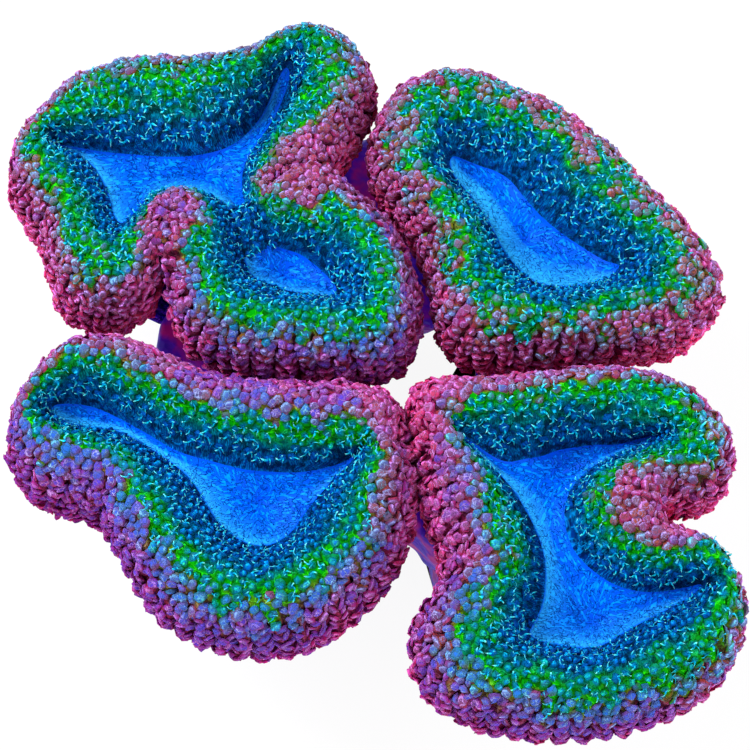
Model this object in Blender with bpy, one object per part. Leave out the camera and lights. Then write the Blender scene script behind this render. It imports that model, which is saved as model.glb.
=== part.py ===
"""Lobo coral: four puffed, winding polyp lobes on a stump that is cut off flat.

Each lobe is a closed loft. Its outline is a list of stations, in millimetres, that run
counter-clockwise round the lobe: where the rim rises from the sunken oral disc, and where
the rim bulges furthest out. A rim profile is swept through the stations, over the crest
and down under the bulge, and goes on as a stalk to a flat foot on the stump.
"""
import math

import bmesh
import bpy
import numpy as np
from mathutils.geometry import delaunay_2d_cdt

MM = 0.001

# Levels above the cut face, in millimetres
STUMP_TOP = 12.0
JOINT_GAP = 0.3
FOOT_LEVEL = STUMP_TOP + JOINT_GAP
STALK_MIDDLE_LEVEL = 19.0
STALK_TOP_LEVEL = 27.0
DISC_LEVEL = 44.0

# The rim
CREST_MAX = 10.5
CREST_BASE = 3.5
CREST_PER_WIDTH = 0.5
FULL_CREST = 10.5
COLUMN_SPACING = 3.7

# (share of the way from disc edge to outer edge, height over the disc edge) on a full rim
RIM_PROFILE = (
    (0.09, 2.2),
    (0.20, 5.6),
    (0.34, 8.6),
    (0.50, 10.5),
    (0.67, 9.8),
    (0.83, 7.0),
    (0.95, 2.8),
    (1.00, -2.0),
    (0.97, -6.6),
    (0.85, -10.6),
    (0.66, -13.4),
)
STALK_TOP_SHARE = 0.42

# The lumps of the flesh: their height, and the profile rows that carry them
LUMP_HEIGHT = 0.8
LUMP_ROWS = range(2, 10)
LUMP_SHARE_OF_GAP = 0.35

# The oral disc
DISC_GRID = 4.6
DISC_MARGIN = 2.0
DISC_DEPTH = 1.4
MOUTH_DEPTH = 1.5
MOUTH_RADIUS = 3.5

# Every lobe: tilt (rise per millimetre of +Y) about the line y = tilt_y, foot centre and
# radius on the stump, mouths, and stations (disc x, disc y, outer x, outer y, disc lift)
LOBES = {
    "lobe_back_left": {
        "tilt": -0.04,
        "tilt_y": 35.0,
        "foot": (-21.0, 23.0, 13.0),
        "mouths": ((-31.0, 41.0), (-16.0, 20.5)),
        "colour": (0.20, 0.32, 0.20, 1.0),
        "stations": (
            (-57.5, 45.5, -66.0, 42.5, 1.0), (-54.5, 44.0, -66.5, 36.5, 0.0),
            (-51.5, 42.0, -64.0, 31.0, 0.0), (-49.0, 38.0, -60.0, 24.5, 0.0),
            (-47.5, 33.5, -58.0, 17.0, 0.5), (-46.5, 29.5, -54.5, 11.0, 3.0),
            (-45.0, 27.0, -47.5, 8.8, 5.0), (-44.0, 28.5, -41.5, 11.5, 4.0),
            (-42.5, 32.0, -38.7, 16.5, 1.0), (-40.5, 35.5, -38.3, 21.5, 0.0),
            (-37.0, 36.5, -38.0, 24.5, 0.0), (-33.0, 36.5, -37.0, 26.5, 0.0),
            (-29.5, 35.0, -36.0, 26.5, 1.0), (-26.5, 32.0, -35.5, 24.5, 3.0),
            (-25.0, 28.5, -36.0, 21.5, 3.0), (-24.0, 25.0, -36.7, 17.5, 1.0),
            (-23.0, 21.5, -37.0, 12.0, 0.0), (-22.0, 19.0, -35.0, 7.0, 0.0),
            (-19.0, 17.5, -30.0, 2.5, 0.0), (-15.5, 16.0, -22.0, 0.0, 0.0),
            (-12.0, 15.5, -13.0, -0.8, 0.0), (-9.0, 15.0, -3.5, -0.8, 0.0),
            (-7.0, 15.5, 4.0, 1.5, 0.0), (-7.0, 17.0, 7.5, 8.0, 0.0),
            (-9.0, 19.5, 7.3, 17.0, 0.0), (-11.0, 21.5, 5.0, 25.0, 0.0),
            (-13.5, 23.5, 1.0, 30.5, 0.0), (-16.5, 24.5, -3.0, 34.5, 0.0),
            (-19.5, 25.5, -8.5, 36.5, 1.0), (-21.5, 28.0, -14.0, 35.5, 3.0),
            (-22.5, 30.5, -18.5, 34.5, 3.0), (-23.5, 33.0, -18.5, 36.3, 1.0),
            (-24.0, 36.5, -16.0, 38.3, 0.0), (-24.0, 40.0, -12.0, 39.0, 0.0),
            (-23.0, 43.5, -7.0, 41.0, 0.0), (-21.0, 47.0, -3.5, 46.5, 0.0),
            (-19.0, 50.5, -1.0, 54.0, 0.0), (-17.0, 54.5, -1.0, 61.5, 1.0),
            (-15.5, 58.5, -4.5, 68.0, 4.0), (-16.5, 59.5, -11.0, 71.0, 5.0),
            (-18.5, 56.5, -17.5, 70.0, 2.0), (-20.0, 53.5, -23.0, 67.0, 0.0),
            (-22.0, 50.0, -29.0, 65.5, 0.0), (-25.0, 46.5, -34.5, 65.0, 0.0),
            (-29.0, 44.5, -40.5, 64.5, 0.0), (-34.0, 43.5, -46.5, 63.5, 0.0),
            (-39.5, 43.5, -52.5, 61.0, 0.0), (-44.5, 44.0, -57.5, 57.5, 0.0),
            (-49.5, 44.5, -62.0, 52.0, 0.0), (-54.5, 45.5, -65.0, 47.5, 0.0),
        ),
    },
    "lobe_back_right": {
        "tilt": -0.04,
        "tilt_y": 32.0,
        "foot": (28.0, 23.0, 11.0),
        "mouths": ((27.0, 27.5),),
        "colour": (0.26, 0.28, 0.16, 1.0),
        "stations": (
            (46.0, 19.5, 62.0, 15.0, 3.0), (43.0, 21.5, 60.0, 24.0, 1.0),
            (38.5, 25.0, 55.0, 31.5, 0.0), (34.5, 27.5, 49.5, 37.5, 0.0),
            (31.0, 31.0, 44.5, 44.5, 0.0), (28.5, 35.0, 39.0, 49.5, 0.0),
            (25.5, 39.0, 33.0, 54.5, 0.0), (22.0, 41.5, 27.0, 58.0, 0.0),
            (18.5, 43.5, 20.0, 61.0, 0.0), (15.0, 44.5, 12.0, 61.5, 1.0),
            (12.5, 44.5, 4.5, 58.0, 3.0), (12.0, 43.0, 0.5, 50.5, 3.0),
            (14.0, 40.5, -1.0, 43.0, 1.0), (17.0, 37.0, 1.5, 36.0, 0.0),
            (19.0, 32.5, 5.0, 30.5, 0.0), (21.0, 28.5, 8.5, 24.0, 0.0),
            (23.0, 24.0, 10.0, 17.0, 0.0), (25.5, 20.5, 11.0, 9.0, 0.0),
            (28.0, 18.0, 15.5, 4.0, 0.0), (31.5, 17.0, 24.0, 1.8, 0.0),
            (35.0, 17.0, 35.0, 2.0, 0.0), (38.5, 17.5, 46.0, 3.0, 0.0),
            (43.0, 18.0, 56.0, 6.5, 1.0),
        ),
    },
    "lobe_front_left": {
        "tilt": 0.14,
        "tilt_y": -22.0,
        "foot": (-20.0, -17.0, 12.0),
        "mouths": ((-20.0, -22.5),),
        "colour": (0.22, 0.26, 0.30, 1.0),
        "stations": (
            (-3.0, -16.5, 4.8, -13.5, 3.0), (-6.0, -17.5, 2.0, -6.5, 1.0),
            (-12.0, -18.5, -4.0, -3.5, 0.0), (-17.5, -18.5, -13.0, -2.5, 0.0),
            (-23.0, -18.0, -22.0, -1.8, 0.0), (-28.5, -16.5, -29.0, -0.5, 0.0),
            (-34.0, -15.0, -34.5, 1.5, 0.0), (-39.0, -12.0, -40.0, 4.5, 0.0),
            (-43.5, -9.5, -45.5, 6.0, 0.0), (-47.5, -7.5, -51.5, 5.5, 0.0),
            (-51.5, -6.5, -58.0, 1.5, 0.0), (-55.5, -7.5, -62.5, -6.0, 2.0),
            (-55.5, -9.5, -64.0, -14.0, 2.0), (-51.0, -10.5, -62.0, -21.5, 0.0),
            (-45.5, -11.0, -55.5, -26.0, 0.0), (-41.0, -13.0, -49.0, -28.0, 0.0),
            (-36.5, -16.0, -45.0, -32.0, 0.0), (-32.5, -19.0, -42.0, -37.0, 0.0),
            (-30.0, -22.5, -38.5, -42.5, 0.0), (-28.0, -26.0, -33.5, -46.5, 0.0),
            (-25.5, -29.0, -27.5, -49.0, 0.0), (-22.0, -31.0, -21.5, -50.0, 0.0),
            (-18.5, -31.5, -15.0, -49.5, 0.0), (-15.5, -30.0, -8.5, -47.5, 0.0),
            (-13.5, -28.0, -2.5, -43.5, 0.0), (-11.5, -25.0, 2.0, -37.0, 0.0),
            (-9.5, -22.5, 5.5, -29.5, 0.0), (-6.5, -19.5, 6.5, -21.0, 0.5),
        ),
    },
    "lobe_front_right": {
        "tilt": 0.12,
        "tilt_y": -30.0,
        "foot": (26.0, -22.0, 12.5),
        "mouths": ((31.5, -17.5), (37.0, -44.0)),
        "colour": (0.28, 0.22, 0.30, 1.0),
        "stations": (
            (14.0, -13.5, 5.2, -8.5, 5.0), (18.0, -17.0, 6.6, -14.5, 3.0),
            (23.0, -21.0, 8.0, -19.0, 0.0), (25.5, -25.0, 9.3, -24.5, 0.0),
            (27.5, -29.0, 11.0, -30.0, 0.0), (29.0, -34.0, 11.3, -35.0, 0.0),
            (29.0, -38.0, 9.5, -39.0, 0.0), (28.5, -42.0, 6.5, -42.5, 0.0),
            (27.0, -45.0, 5.0, -47.5, 0.0), (26.0, -47.5, 6.0, -53.5, 1.0),
            (28.5, -48.5, 10.5, -59.5, 0.0), (31.5, -49.0, 19.5, -63.0, 0.0),
            (35.0, -49.5, 29.0, -64.5, 0.0), (38.5, -49.0, 38.5, -64.0, 0.0),
            (42.0, -47.0, 47.5, -61.5, 0.0), (45.5, -45.0, 55.0, -58.0, 0.0),
            (49.5, -43.0, 60.5, -52.5, 0.0), (53.5, -41.0, 63.0, -46.0, 1.0),
            (55.5, -39.5, 63.0, -39.5, 3.0), (52.5, -39.5, 60.5, -33.5, 1.0),
            (47.0, -40.0, 56.0, -30.0, 0.0), (41.5, -39.0, 51.5, -28.7, 0.0),
            (37.5, -36.5, 49.5, -28.0, 0.0), (34.0, -33.0, 48.5, -27.7, 0.0),
            (32.5, -28.5, 48.2, -27.0, 0.0), (32.5, -24.5, 48.5, -26.3, 0.0),
            (34.5, -20.5, 49.5, -25.8, 0.0), (38.0, -17.5, 51.5, -25.5, 0.0),
            (42.0, -15.5, 54.0, -25.3, 0.0), (46.0, -14.5, 57.0, -25.0, 1.0),
            (49.0, -13.5, 60.5, -21.5, 3.0), (47.0, -13.0, 62.0, -15.5, 1.0),
            (42.0, -14.0, 59.5, -9.0, 0.0), (38.0, -14.0, 53.5, -3.5, 0.0),
            (34.5, -14.5, 45.5, -0.5, 0.0), (31.5, -15.0, 37.5, 0.2, 0.0),
            (29.0, -16.0, 30.0, -0.8, 0.0), (26.0, -16.5, 22.0, -1.5, 0.0),
            (22.0, -17.0, 13.0, -2.2, 0.0), (17.0, -15.0, 7.0, -4.2, 3.0),
        ),
    },
}

# Outline of the stump's top, in millimetres, counter-clockwise: an arm under each stalk
STUMP_OUTLINE = (
    (9.0, 4.0), (16.0, 8.0), (16.5, 20.0), (21.0, 33.0), (33.0, 34.0), (40.5, 25.0),
    (38.0, 11.0), (33.0, 0.0), (37.0, -10.0), (40.0, -22.0), (34.0, -34.0), (22.0, -36.0),
    (12.5, -29.0), (9.0, -17.0), (1.0, -13.0), (-6.5, -17.0), (-9.0, -26.0), (-20.0, -31.0),
    (-31.0, -25.0), (-34.0, -14.0), (-28.0, -3.0), (-27.0, 5.0), (-33.5, 13.0),
    (-35.0, 26.0), (-26.0, 36.5), (-14.0, 35.5), (-7.0, 25.0), (-4.5, 12.0),
)
STUMP_COLUMN_SPACING = 5.0
# (height, share of the outline's size) of the stump's rings, from the cut face up
STUMP_RINGS = ((0.0, 0.94), (1.2, 0.97), (6.0, 1.0), (10.8, 1.0), (STUMP_TOP, 0.985))
STUMP_COLOUR = (0.10, 0.05, 0.30, 1.0)


def clear_scene():
    """Remove every object of the open scene."""
    for item in list(bpy.data.objects):
        bpy.data.objects.remove(item, do_unlink=True)


def principled(name, colour, roughness):
    """A plain Principled material."""
    material = bpy.data.materials.new(name)
    material.use_nodes = True
    shader = material.node_tree.nodes["Principled BSDF"]
    shader.inputs["Base Color"].default_value = colour
    shader.inputs["Roughness"].default_value = roughness
    shader.inputs["Metallic"].default_value = 0.0
    material.diffuse_color = colour
    return material


def smooth_closed_curve(points, steps=12):
    """Points of a closed Catmull-Rom curve through the given rows of numbers."""
    before = np.roll(points, 1, axis=0)
    after = np.roll(points, -1, axis=0)
    beyond = np.roll(points, -2, axis=0)
    pieces = []
    for step in range(steps):
        t = step / steps
        pieces.append(0.5 * (2 * points + (after - before) * t
                             + (2 * before - 5 * points + 4 * after - beyond) * t ** 2
                             + (3 * points - before - 3 * after + beyond) * t ** 3))
    return np.stack(pieces, axis=1).reshape(-1, points.shape[1])


def spaced_evenly(curve, paths, spacing):
    """Resample a closed curve so that the longest of its paths has even steps.

    paths lists the pairs of columns that hold the x and y of each path.
    """
    steps = np.max([np.hypot(*(np.roll(curve[:, path], -1, axis=0) - curve[:, path]).T)
                    for path in paths], axis=0)
    along = np.concatenate([[0.0], np.cumsum(steps)])
    count = 2 * round(along[-1] / spacing / 2)
    closed = np.vstack([curve, curve[:1]])
    places = np.arange(count) * along[-1] / count
    return np.stack([np.interp(places, along, column) for column in closed.T], axis=1)


def lobe_columns(lobe):
    """The lobe's stations, rounded into a smooth closed curve of evenly spaced columns."""
    curve = smooth_closed_curve(np.array(lobe["stations"]))
    return spaced_evenly(curve, ([0, 1], [2, 3]), COLUMN_SPACING)


def relaxed(ring, passes):
    """Round a closed ring off by moving each point halfway to its neighbours."""
    for _ in range(passes):
        ring = 0.5 * ring + 0.25 * (np.roll(ring, 1, axis=0) + np.roll(ring, -1, axis=0))
    return ring


def free_gaps(columns, others):
    """Distance from each outer point to the nearest flesh that faces it across a gap."""
    outer = columns[:, 2:4]
    count = len(outer)
    gaps = np.full(count, 1e3)
    for other in others:
        gaps = np.minimum(gaps, np.min(np.linalg.norm(
            outer[:, None] - other[None, :, 2:4], axis=2), axis=1))
    between = np.linalg.norm(outer[:, None] - outer[None], axis=2)
    index = np.arange(count)
    apart = np.abs(index[:, None] - index[None])
    apart = np.minimum(apart, count - apart)
    between[apart < 4] = 1e3
    return np.minimum(gaps, between.min(axis=1))


def rim_rings(lobe, columns, gaps):
    """Rings of points of the rim, from the disc edge over the crest to under the bulge."""
    disc, outer, lift = columns[:, :2], columns[:, 2:4], columns[:, 4]
    width = np.linalg.norm(outer - disc, axis=1)
    crest = np.minimum(CREST_MAX, CREST_BASE + CREST_PER_WIDTH * width)
    rings = [ring_on_lobe(lobe, disc, lift)]
    for share, height in RIM_PROFILE:
        if height > 0:
            own = height * crest / FULL_CREST
            own = own + lift * (1 - share) ** 2
        else:
            own = np.full(len(width), height)
        rings.append(ring_on_lobe(lobe, disc + share * (outer - disc), own))
    rings = np.array(rings)
    return rings + lumps(rings, gaps)


def ring_on_lobe(lobe, plan, height):
    """Stand a flat ring at the given heights over the lobe's tilted disc plane."""
    level = DISC_LEVEL + lobe["tilt"] * (plan[:, 1] - lobe["tilt_y"]) + height
    return np.column_stack([plan, level])


def lumps(rings, gaps):
    """Moves, along the surface normals, that make every second point a lump."""
    along = np.roll(rings, -1, axis=1) - np.roll(rings, 1, axis=1)
    across = np.gradient(rings, axis=0)
    normals = np.cross(across, along)
    normals /= np.maximum(np.linalg.norm(normals, axis=2, keepdims=True), 1e-6)
    rows, count = rings.shape[:2]
    size = np.minimum(LUMP_HEIGHT, LUMP_SHARE_OF_GAP * np.maximum(gaps - 2 * JOINT_GAP, 0.0))
    moves = np.zeros_like(rings)
    for row in LUMP_ROWS:
        sign = np.where((np.arange(count) + row) % 2 == 0, 1.0, -1.0)
        moves[row] = normals[row] * (sign * size)[:, None]
    return moves


def stalk_rings(lobe, columns):
    """Rings of the stalk, which rounds off and leans to its foot on the stump."""
    disc, outer = columns[:, :2], columns[:, 2:4]
    top = relaxed(disc + STALK_TOP_SHARE * (outer - disc), 3)
    foot_x, foot_y, radius = lobe["foot"]
    bottom = relaxed(top, 160)
    centre = bottom.mean(axis=0)
    size = np.linalg.norm(bottom - centre, axis=1).mean()
    bottom = (bottom - centre) * radius / size + (foot_x, foot_y)
    middle = 0.45 * relaxed(top, 25) + 0.55 * bottom
    return [np.column_stack([plan, np.full(len(plan), level)])
            for plan, level in ((top, STALK_TOP_LEVEL), (middle, STALK_MIDDLE_LEVEL),
                                (bottom, FOOT_LEVEL))]


def inside_outline(point, outline):
    """Whether a point lies inside a closed outline."""
    x, y = point
    after = np.roll(outline, -1, axis=0)
    spans = (outline[:, 1] > y) != (after[:, 1] > y)
    rise = np.where(spans, after[:, 1] - outline[:, 1], 1.0)
    crossing = outline[:, 0] + (y - outline[:, 1]) * (after[:, 0] - outline[:, 0]) / rise
    return np.count_nonzero(spans & (crossing > x)) % 2 == 1


def disc_points(lobe, edge, lift):
    """Points of the sunken oral disc inside its edge, in millimetres."""
    low, high = edge.min(axis=0), edge.max(axis=0)
    points = []
    rows = np.arange(low[1], high[1], DISC_GRID * math.sqrt(3) / 2)
    for row, y in enumerate(rows):
        start = low[0] + (row % 2) * DISC_GRID / 2
        for x in np.arange(start, high[0], DISC_GRID):
            gaps = np.hypot(edge[:, 0] - x, edge[:, 1] - y)
            if gaps.min() > DISC_MARGIN and inside_outline((x, y), edge):
                near = 1 / gaps ** 3
                height = np.sum(near * lift) / np.sum(near)
                height -= DISC_DEPTH * (1 - math.exp(-gaps.min() / 3))
                for mouth_x, mouth_y in lobe["mouths"]:
                    off = math.hypot(x - mouth_x, y - mouth_y) / MOUTH_RADIUS
                    height -= MOUTH_DEPTH * math.exp(-off * off)
                points.append((x, y, height))
    return np.array(points)


def fill_disc(mesh, lobe, ring, edge, lift):
    """Close the top of a lobe with its sunken disc, inside the ring of edge vertices."""
    points = disc_points(lobe, edge, lift)
    inner = ring_on_lobe(lobe, points[:, :2], points[:, 2]) * MM
    plan = np.vstack([edge, points[:, :2]])
    count = len(edge)
    rim = [(index, (index + 1) % count) for index in range(count)]
    triangles = delaunay_2d_cdt([tuple(p) for p in plan], rim, [], 0, 1e-6, False)[2]
    vertices = list(ring) + [mesh.verts.new(p) for p in inner]
    for triangle in triangles:
        if inside_outline(plan[list(triangle)].mean(axis=0), edge):
            mesh.faces.new([vertices[index] for index in triangle])


def bridge(mesh, lower, upper):
    """Join two rings of vertices with a band of quads."""
    for index, vertex in enumerate(lower):
        after = (index + 1) % len(lower)
        mesh.faces.new((vertex, upper[index], upper[after], lower[after]))


def finished_object(name, mesh, material, collection):
    """Turn a bmesh into a named object with its faces pointing out."""
    bmesh.ops.triangulate(mesh, faces=mesh.faces[:])
    bmesh.ops.recalc_face_normals(mesh, faces=mesh.faces[:])
    data = bpy.data.meshes.new(name)
    mesh.to_mesh(data)
    mesh.free()
    data.materials.append(material)
    data.shade_smooth()
    item = bpy.data.objects.new(name, data)
    collection.objects.link(item)
    return item


def build_lobe(name, lobe, columns, others, collection):
    """One polyp lobe with its stalk, as a closed solid."""
    gaps = free_gaps(columns, others)
    rings = list(rim_rings(lobe, columns, gaps)) + stalk_rings(lobe, columns)
    mesh = bmesh.new()
    loops = [[mesh.verts.new(point * MM) for point in ring] for ring in rings]
    for lower, upper in zip(loops, loops[1:]):
        bridge(mesh, lower, upper)
    mesh.faces.new(loops[-1])
    fill_disc(mesh, lobe, loops[0], columns[:, :2], columns[:, 4])
    material = principled(name + "_flesh", lobe["colour"], 0.45)
    return finished_object(name, mesh, material, collection)


def build_stump(collection):
    """The stump that the four stalks grow from, cut off flat underneath."""
    curve = smooth_closed_curve(np.array(STUMP_OUTLINE))
    outline = spaced_evenly(curve, ([0, 1],), STUMP_COLUMN_SPACING)
    centre = outline.mean(axis=0)
    mesh = bmesh.new()
    loops = []
    for height, size in STUMP_RINGS:
        plan = centre + (outline - centre) * size
        loops.append([mesh.verts.new((x * MM, y * MM, height * MM)) for x, y in plan])
    for lower, upper in zip(loops, loops[1:]):
        bridge(mesh, lower, upper)
    mesh.faces.new(loops[0])
    mesh.faces.new(loops[-1])
    material = principled("stump_skin", STUMP_COLOUR, 0.6)
    return finished_object("trunk", mesh, material, collection)


def main():
    """Model the whole coral."""
    clear_scene()
    collection = bpy.data.collections.new("lobo_coral")
    bpy.context.scene.collection.children.link(collection)
    build_stump(collection)
    columns = {name: lobe_columns(lobe) for name, lobe in LOBES.items()}
    for name, lobe in LOBES.items():
        others = [other for key, other in columns.items() if key != name]
        build_lobe(name, lobe, columns[name], others, collection)


main()
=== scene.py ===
"""Looks of a lobo coral: puffed polyp lobes thick with papillae, sunken azure oral discs,
ribbed stalks and a flat-cut stump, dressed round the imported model.

Lengths in the shape classes are millimetres; meshes are in metres.
"""
import logging
import math
from dataclasses import dataclass, field
from enum import Enum

import bmesh
import bpy
import numpy as np
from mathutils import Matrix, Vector, noise
from mathutils.bvhtree import BVHTree
from mathutils.geometry import delaunay_2d_cdt
from mathutils.kdtree import KDTree


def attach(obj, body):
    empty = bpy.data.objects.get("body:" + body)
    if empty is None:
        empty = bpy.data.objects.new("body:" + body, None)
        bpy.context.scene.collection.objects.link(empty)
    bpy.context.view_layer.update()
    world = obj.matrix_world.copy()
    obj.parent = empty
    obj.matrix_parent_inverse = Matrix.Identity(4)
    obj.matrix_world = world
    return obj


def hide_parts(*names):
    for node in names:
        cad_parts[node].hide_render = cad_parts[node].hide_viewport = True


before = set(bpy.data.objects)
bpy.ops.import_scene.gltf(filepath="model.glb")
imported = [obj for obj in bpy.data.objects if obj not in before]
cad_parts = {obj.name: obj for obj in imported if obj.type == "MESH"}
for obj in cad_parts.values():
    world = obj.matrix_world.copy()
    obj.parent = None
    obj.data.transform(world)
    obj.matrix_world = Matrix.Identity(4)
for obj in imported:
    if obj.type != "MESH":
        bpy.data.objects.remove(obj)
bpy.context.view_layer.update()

LOG = logging.getLogger("lobo_coral")

MM = 0.001
BODY = "root"
STATION = tuple[float, float, float, float, float]
Array = np.ndarray
Socket = bpy.types.NodeSocket

# Levels over the cut face
DISC_LEVEL = 44.0
STALK_TOP_LEVEL = 27.0
STALK_MIDDLE_LEVEL = 19.0
FOOT_SUNK_LEVEL = 10.6

# The rim: (share of the way from disc edge to outer edge, height over the disc edge)
CREST_MAX = 10.5
CREST_BASE = 3.5
CREST_PER_WIDTH = 0.5
RIM_PROFILE = (
    (0.09, 2.2), (0.20, 5.6), (0.34, 8.6), (0.50, 10.5), (0.67, 9.8), (0.83, 7.0),
    (0.95, 2.8), (1.00, -2.0), (0.97, -6.6), (0.85, -10.6), (0.66, -13.4),
)
# Heights of the same rings where the rim swells into a mound over a closed fold
MOUND_PROFILE = (2.2, 5.8, 9.2, 11.2, 12.2, 12.7, 12.7, 11.8, 5.0, -6.0, -13.4)
# Shares of a fold's length, and how full the mound over it is there
FOLD_RUN = (0.0, 0.6, 1.0)
FOLD_FULL = (1.0, 1.0, 0.35)
# The stalk: where its top lies between disc edge and outer edge, how the middle is mixed from
# top and foot, and how often each of the three is rounded off
STALK_TOP_SHARE = 0.42
STALK_MIX = (0.45, 0.55)
STALK_TOP_PASSES = 5
STALK_MIDDLE_PASSES = 38
FOOT_PASSES = 240
# The cages that the flesh and the stump are subdivided from
CAGE_SPACING = 3.0
CAGE_LEVELS = 2
STUMP_SPACING = 3.6
START_RADIUS = 10.0

# The oral disc; a shore is the width over which it sinks in, or starts to swell
DISC_DEPTH = 1.4
DISC_SHORE = 3.0
SWELL_SHORE = 1.5
DISC_GRAIN = 0.33
DISC_MARGIN = 0.3
MOUTH_DEPTH = 1.5
MOUTH_RADIUS = 3.5
MOUTH_SHADE = 1.1
SILL_HEIGHT = 1.6
# Sizes and heights of the disc's swells and of its small folds
SWELL_SIZE, SWELL_HEIGHT = 5.0, 0.45
PUCKER_SIZE, PUCKER_HEIGHT = 1.4, 0.10
# How strongly the wrinkles of the disc turn about, and the size of a turn
LAY_TURN = 1.4
LAY_SIZE = 4.0

# Stations counter-clockwise round each lobe: disc x, disc y, outer x, outer y, disc lift
BACK_LEFT_STATIONS: tuple[STATION, ...] = (
    (-57.5, 45.5, -66, 42.5, 1), (-54.5, 44, -66.5, 36.5, 0), (-51.5, 42, -64, 31, 0),
    (-49, 38, -60, 24.5, 0), (-47.5, 33.5, -58, 17, 0.5), (-46.5, 29.5, -54.5, 11, 3),
    (-45, 27, -47.5, 8.8, 5), (-44, 28.5, -41.5, 11.5, 4), (-42.5, 32, -38.7, 16.5, 1),
    (-40.5, 35.5, -38.3, 21.5, 0), (-37, 36.5, -38, 24.5, 0), (-33, 36.5, -37, 26.5, 0),
    (-29.5, 35, -36, 26.5, 1), (-26.5, 32, -35.5, 24.5, 3), (-25, 28.5, -36, 21.5, 3),
    (-24, 25, -36.7, 17.5, 1), (-23, 21.5, -37, 12, 0), (-22, 19, -35, 7, 0),
    (-19, 17.5, -30, 2.5, 0), (-15.5, 16, -22, 0, 0), (-12, 15.5, -13, -0.9, 0),
    (-9, 15, -3, -1.3, 0), (-7, 15.5, 4.8, 0.8, 0), (-7, 17, 8.4, 7.8, 0), (-9, 19.5, 8.4, 17, 0),
    (-11, 21.5, 6, 25.4, 0), (-13.5, 23.5, 2, 31.3, 0), (-16.5, 24.5, -2.4, 35, 0),
    (-19.5, 25.5, -8.5, 36.5, 1), (-21.5, 28, -14, 35.5, 3), (-22.5, 30.5, -18.5, 34.5, 3),
    (-23.5, 33, -18.5, 36.3, 1), (-24, 36.5, -16, 38.3, 0), (-24, 40, -12, 39, 0),
    (-23, 43.5, -6.4, 41, 0), (-21, 47, -2.9, 46.5, 0), (-19, 50.5, 0.4, 54, 0),
    (-17, 54.5, 0.2, 61.5, 1), (-15.5, 58.5, -4.2, 67.4, 4), (-16.5, 59.5, -11, 70.3, 5),
    (-18.5, 56.5, -17.5, 69, 2), (-20, 53.5, -23, 65.6, 0), (-22, 50, -29, 64.4, 0),
    (-25, 46.5, -34.5, 64.6, 0), (-29, 44.5, -40.8, 64.8, 0), (-34, 43.5, -47, 64.3, 0),
    (-39.5, 43.5, -53.2, 61.8, 0), (-44.5, 44, -58.2, 58.2, 0), (-49.5, 44.5, -62, 52, 0),
    (-54.5, 45.5, -65, 47.5, 0),
)

BACK_RIGHT_STATIONS: tuple[STATION, ...] = (
    (43.2, 19.6, 62, 15, 3), (40.8, 21.6, 60, 24, 1), (36.8, 25, 55, 31.5, 0),
    (33.2, 27.8, 49.5, 37.5, 0), (29.8, 31.2, 44.5, 44.5, 0), (27, 34.8, 39, 49.5, 0),
    (24.6, 38.4, 33.2, 54.9, 0), (22, 40.4, 26.8, 57.4, 0), (19, 41.6, 20, 61, 0),
    (16.4, 42.2, 12, 61.5, 1), (14.2, 42, 4, 58.4, 3), (13.4, 40.6, -0.4, 51, 3),
    (14.4, 38.6, -2.2, 43, 1), (17, 35.6, 0.4, 35.4, 0), (19, 32.5, 4.2, 29.8, 0),
    (21, 28.5, 7.6, 23.4, 0), (23, 24, 9.2, 16.6, 0), (25.5, 20.5, 10.2, 8.4, 0),
    (28, 18, 14.2, 2.9, 0), (31.5, 17, 23.5, 1, 0), (35, 17, 35, 2, 0), (37.8, 17.6, 46, 3, 0),
    (41.4, 18.2, 56, 6.5, 1),
)

FRONT_LEFT_STATIONS: tuple[STATION, ...] = (
    (-3, -16.5, 6.6, -13, 3), (-6, -17.5, 5, -6.2, 1), (-12, -18.5, -1, -2.6, 0),
    (-17.5, -18.5, -12, -2.3, 0), (-23, -18, -22, -1.8, 0), (-28.5, -16.5, -29, -0.5, 0),
    (-34, -15, -34.5, 1.5, 0), (-39, -12, -40, 4.5, 0), (-43.5, -9.5, -45.5, 6, 0),
    (-47.5, -7.5, -51.5, 5.5, 0), (-51.5, -6.5, -58, 1.5, 0), (-55.5, -7.5, -62.5, -6, 2),
    (-55.5, -9.5, -64, -14, 2), (-51, -10.5, -61.6, -20.8, 0), (-45.5, -11, -55.5, -24.8, 0),
    (-41, -13, -48.4, -26.4, 0), (-36.5, -16, -45, -32, 0), (-32.5, -19, -42, -37, 0),
    (-30, -22.5, -38.5, -42.5, 0), (-28, -26, -33.5, -46.5, 0), (-25.5, -29, -27.5, -49, 0),
    (-22, -31, -21.5, -50, 0), (-18.5, -31.5, -15, -49.5, 0), (-15.5, -30, -8.5, -47.5, 0),
    (-13.5, -28, -2, -42.9, 0), (-11.5, -25, 3.4, -36.4, 0), (-9.5, -22.5, 7, -29, 0),
    (-6.5, -19.5, 7.8, -21, 0.5),
)

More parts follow.
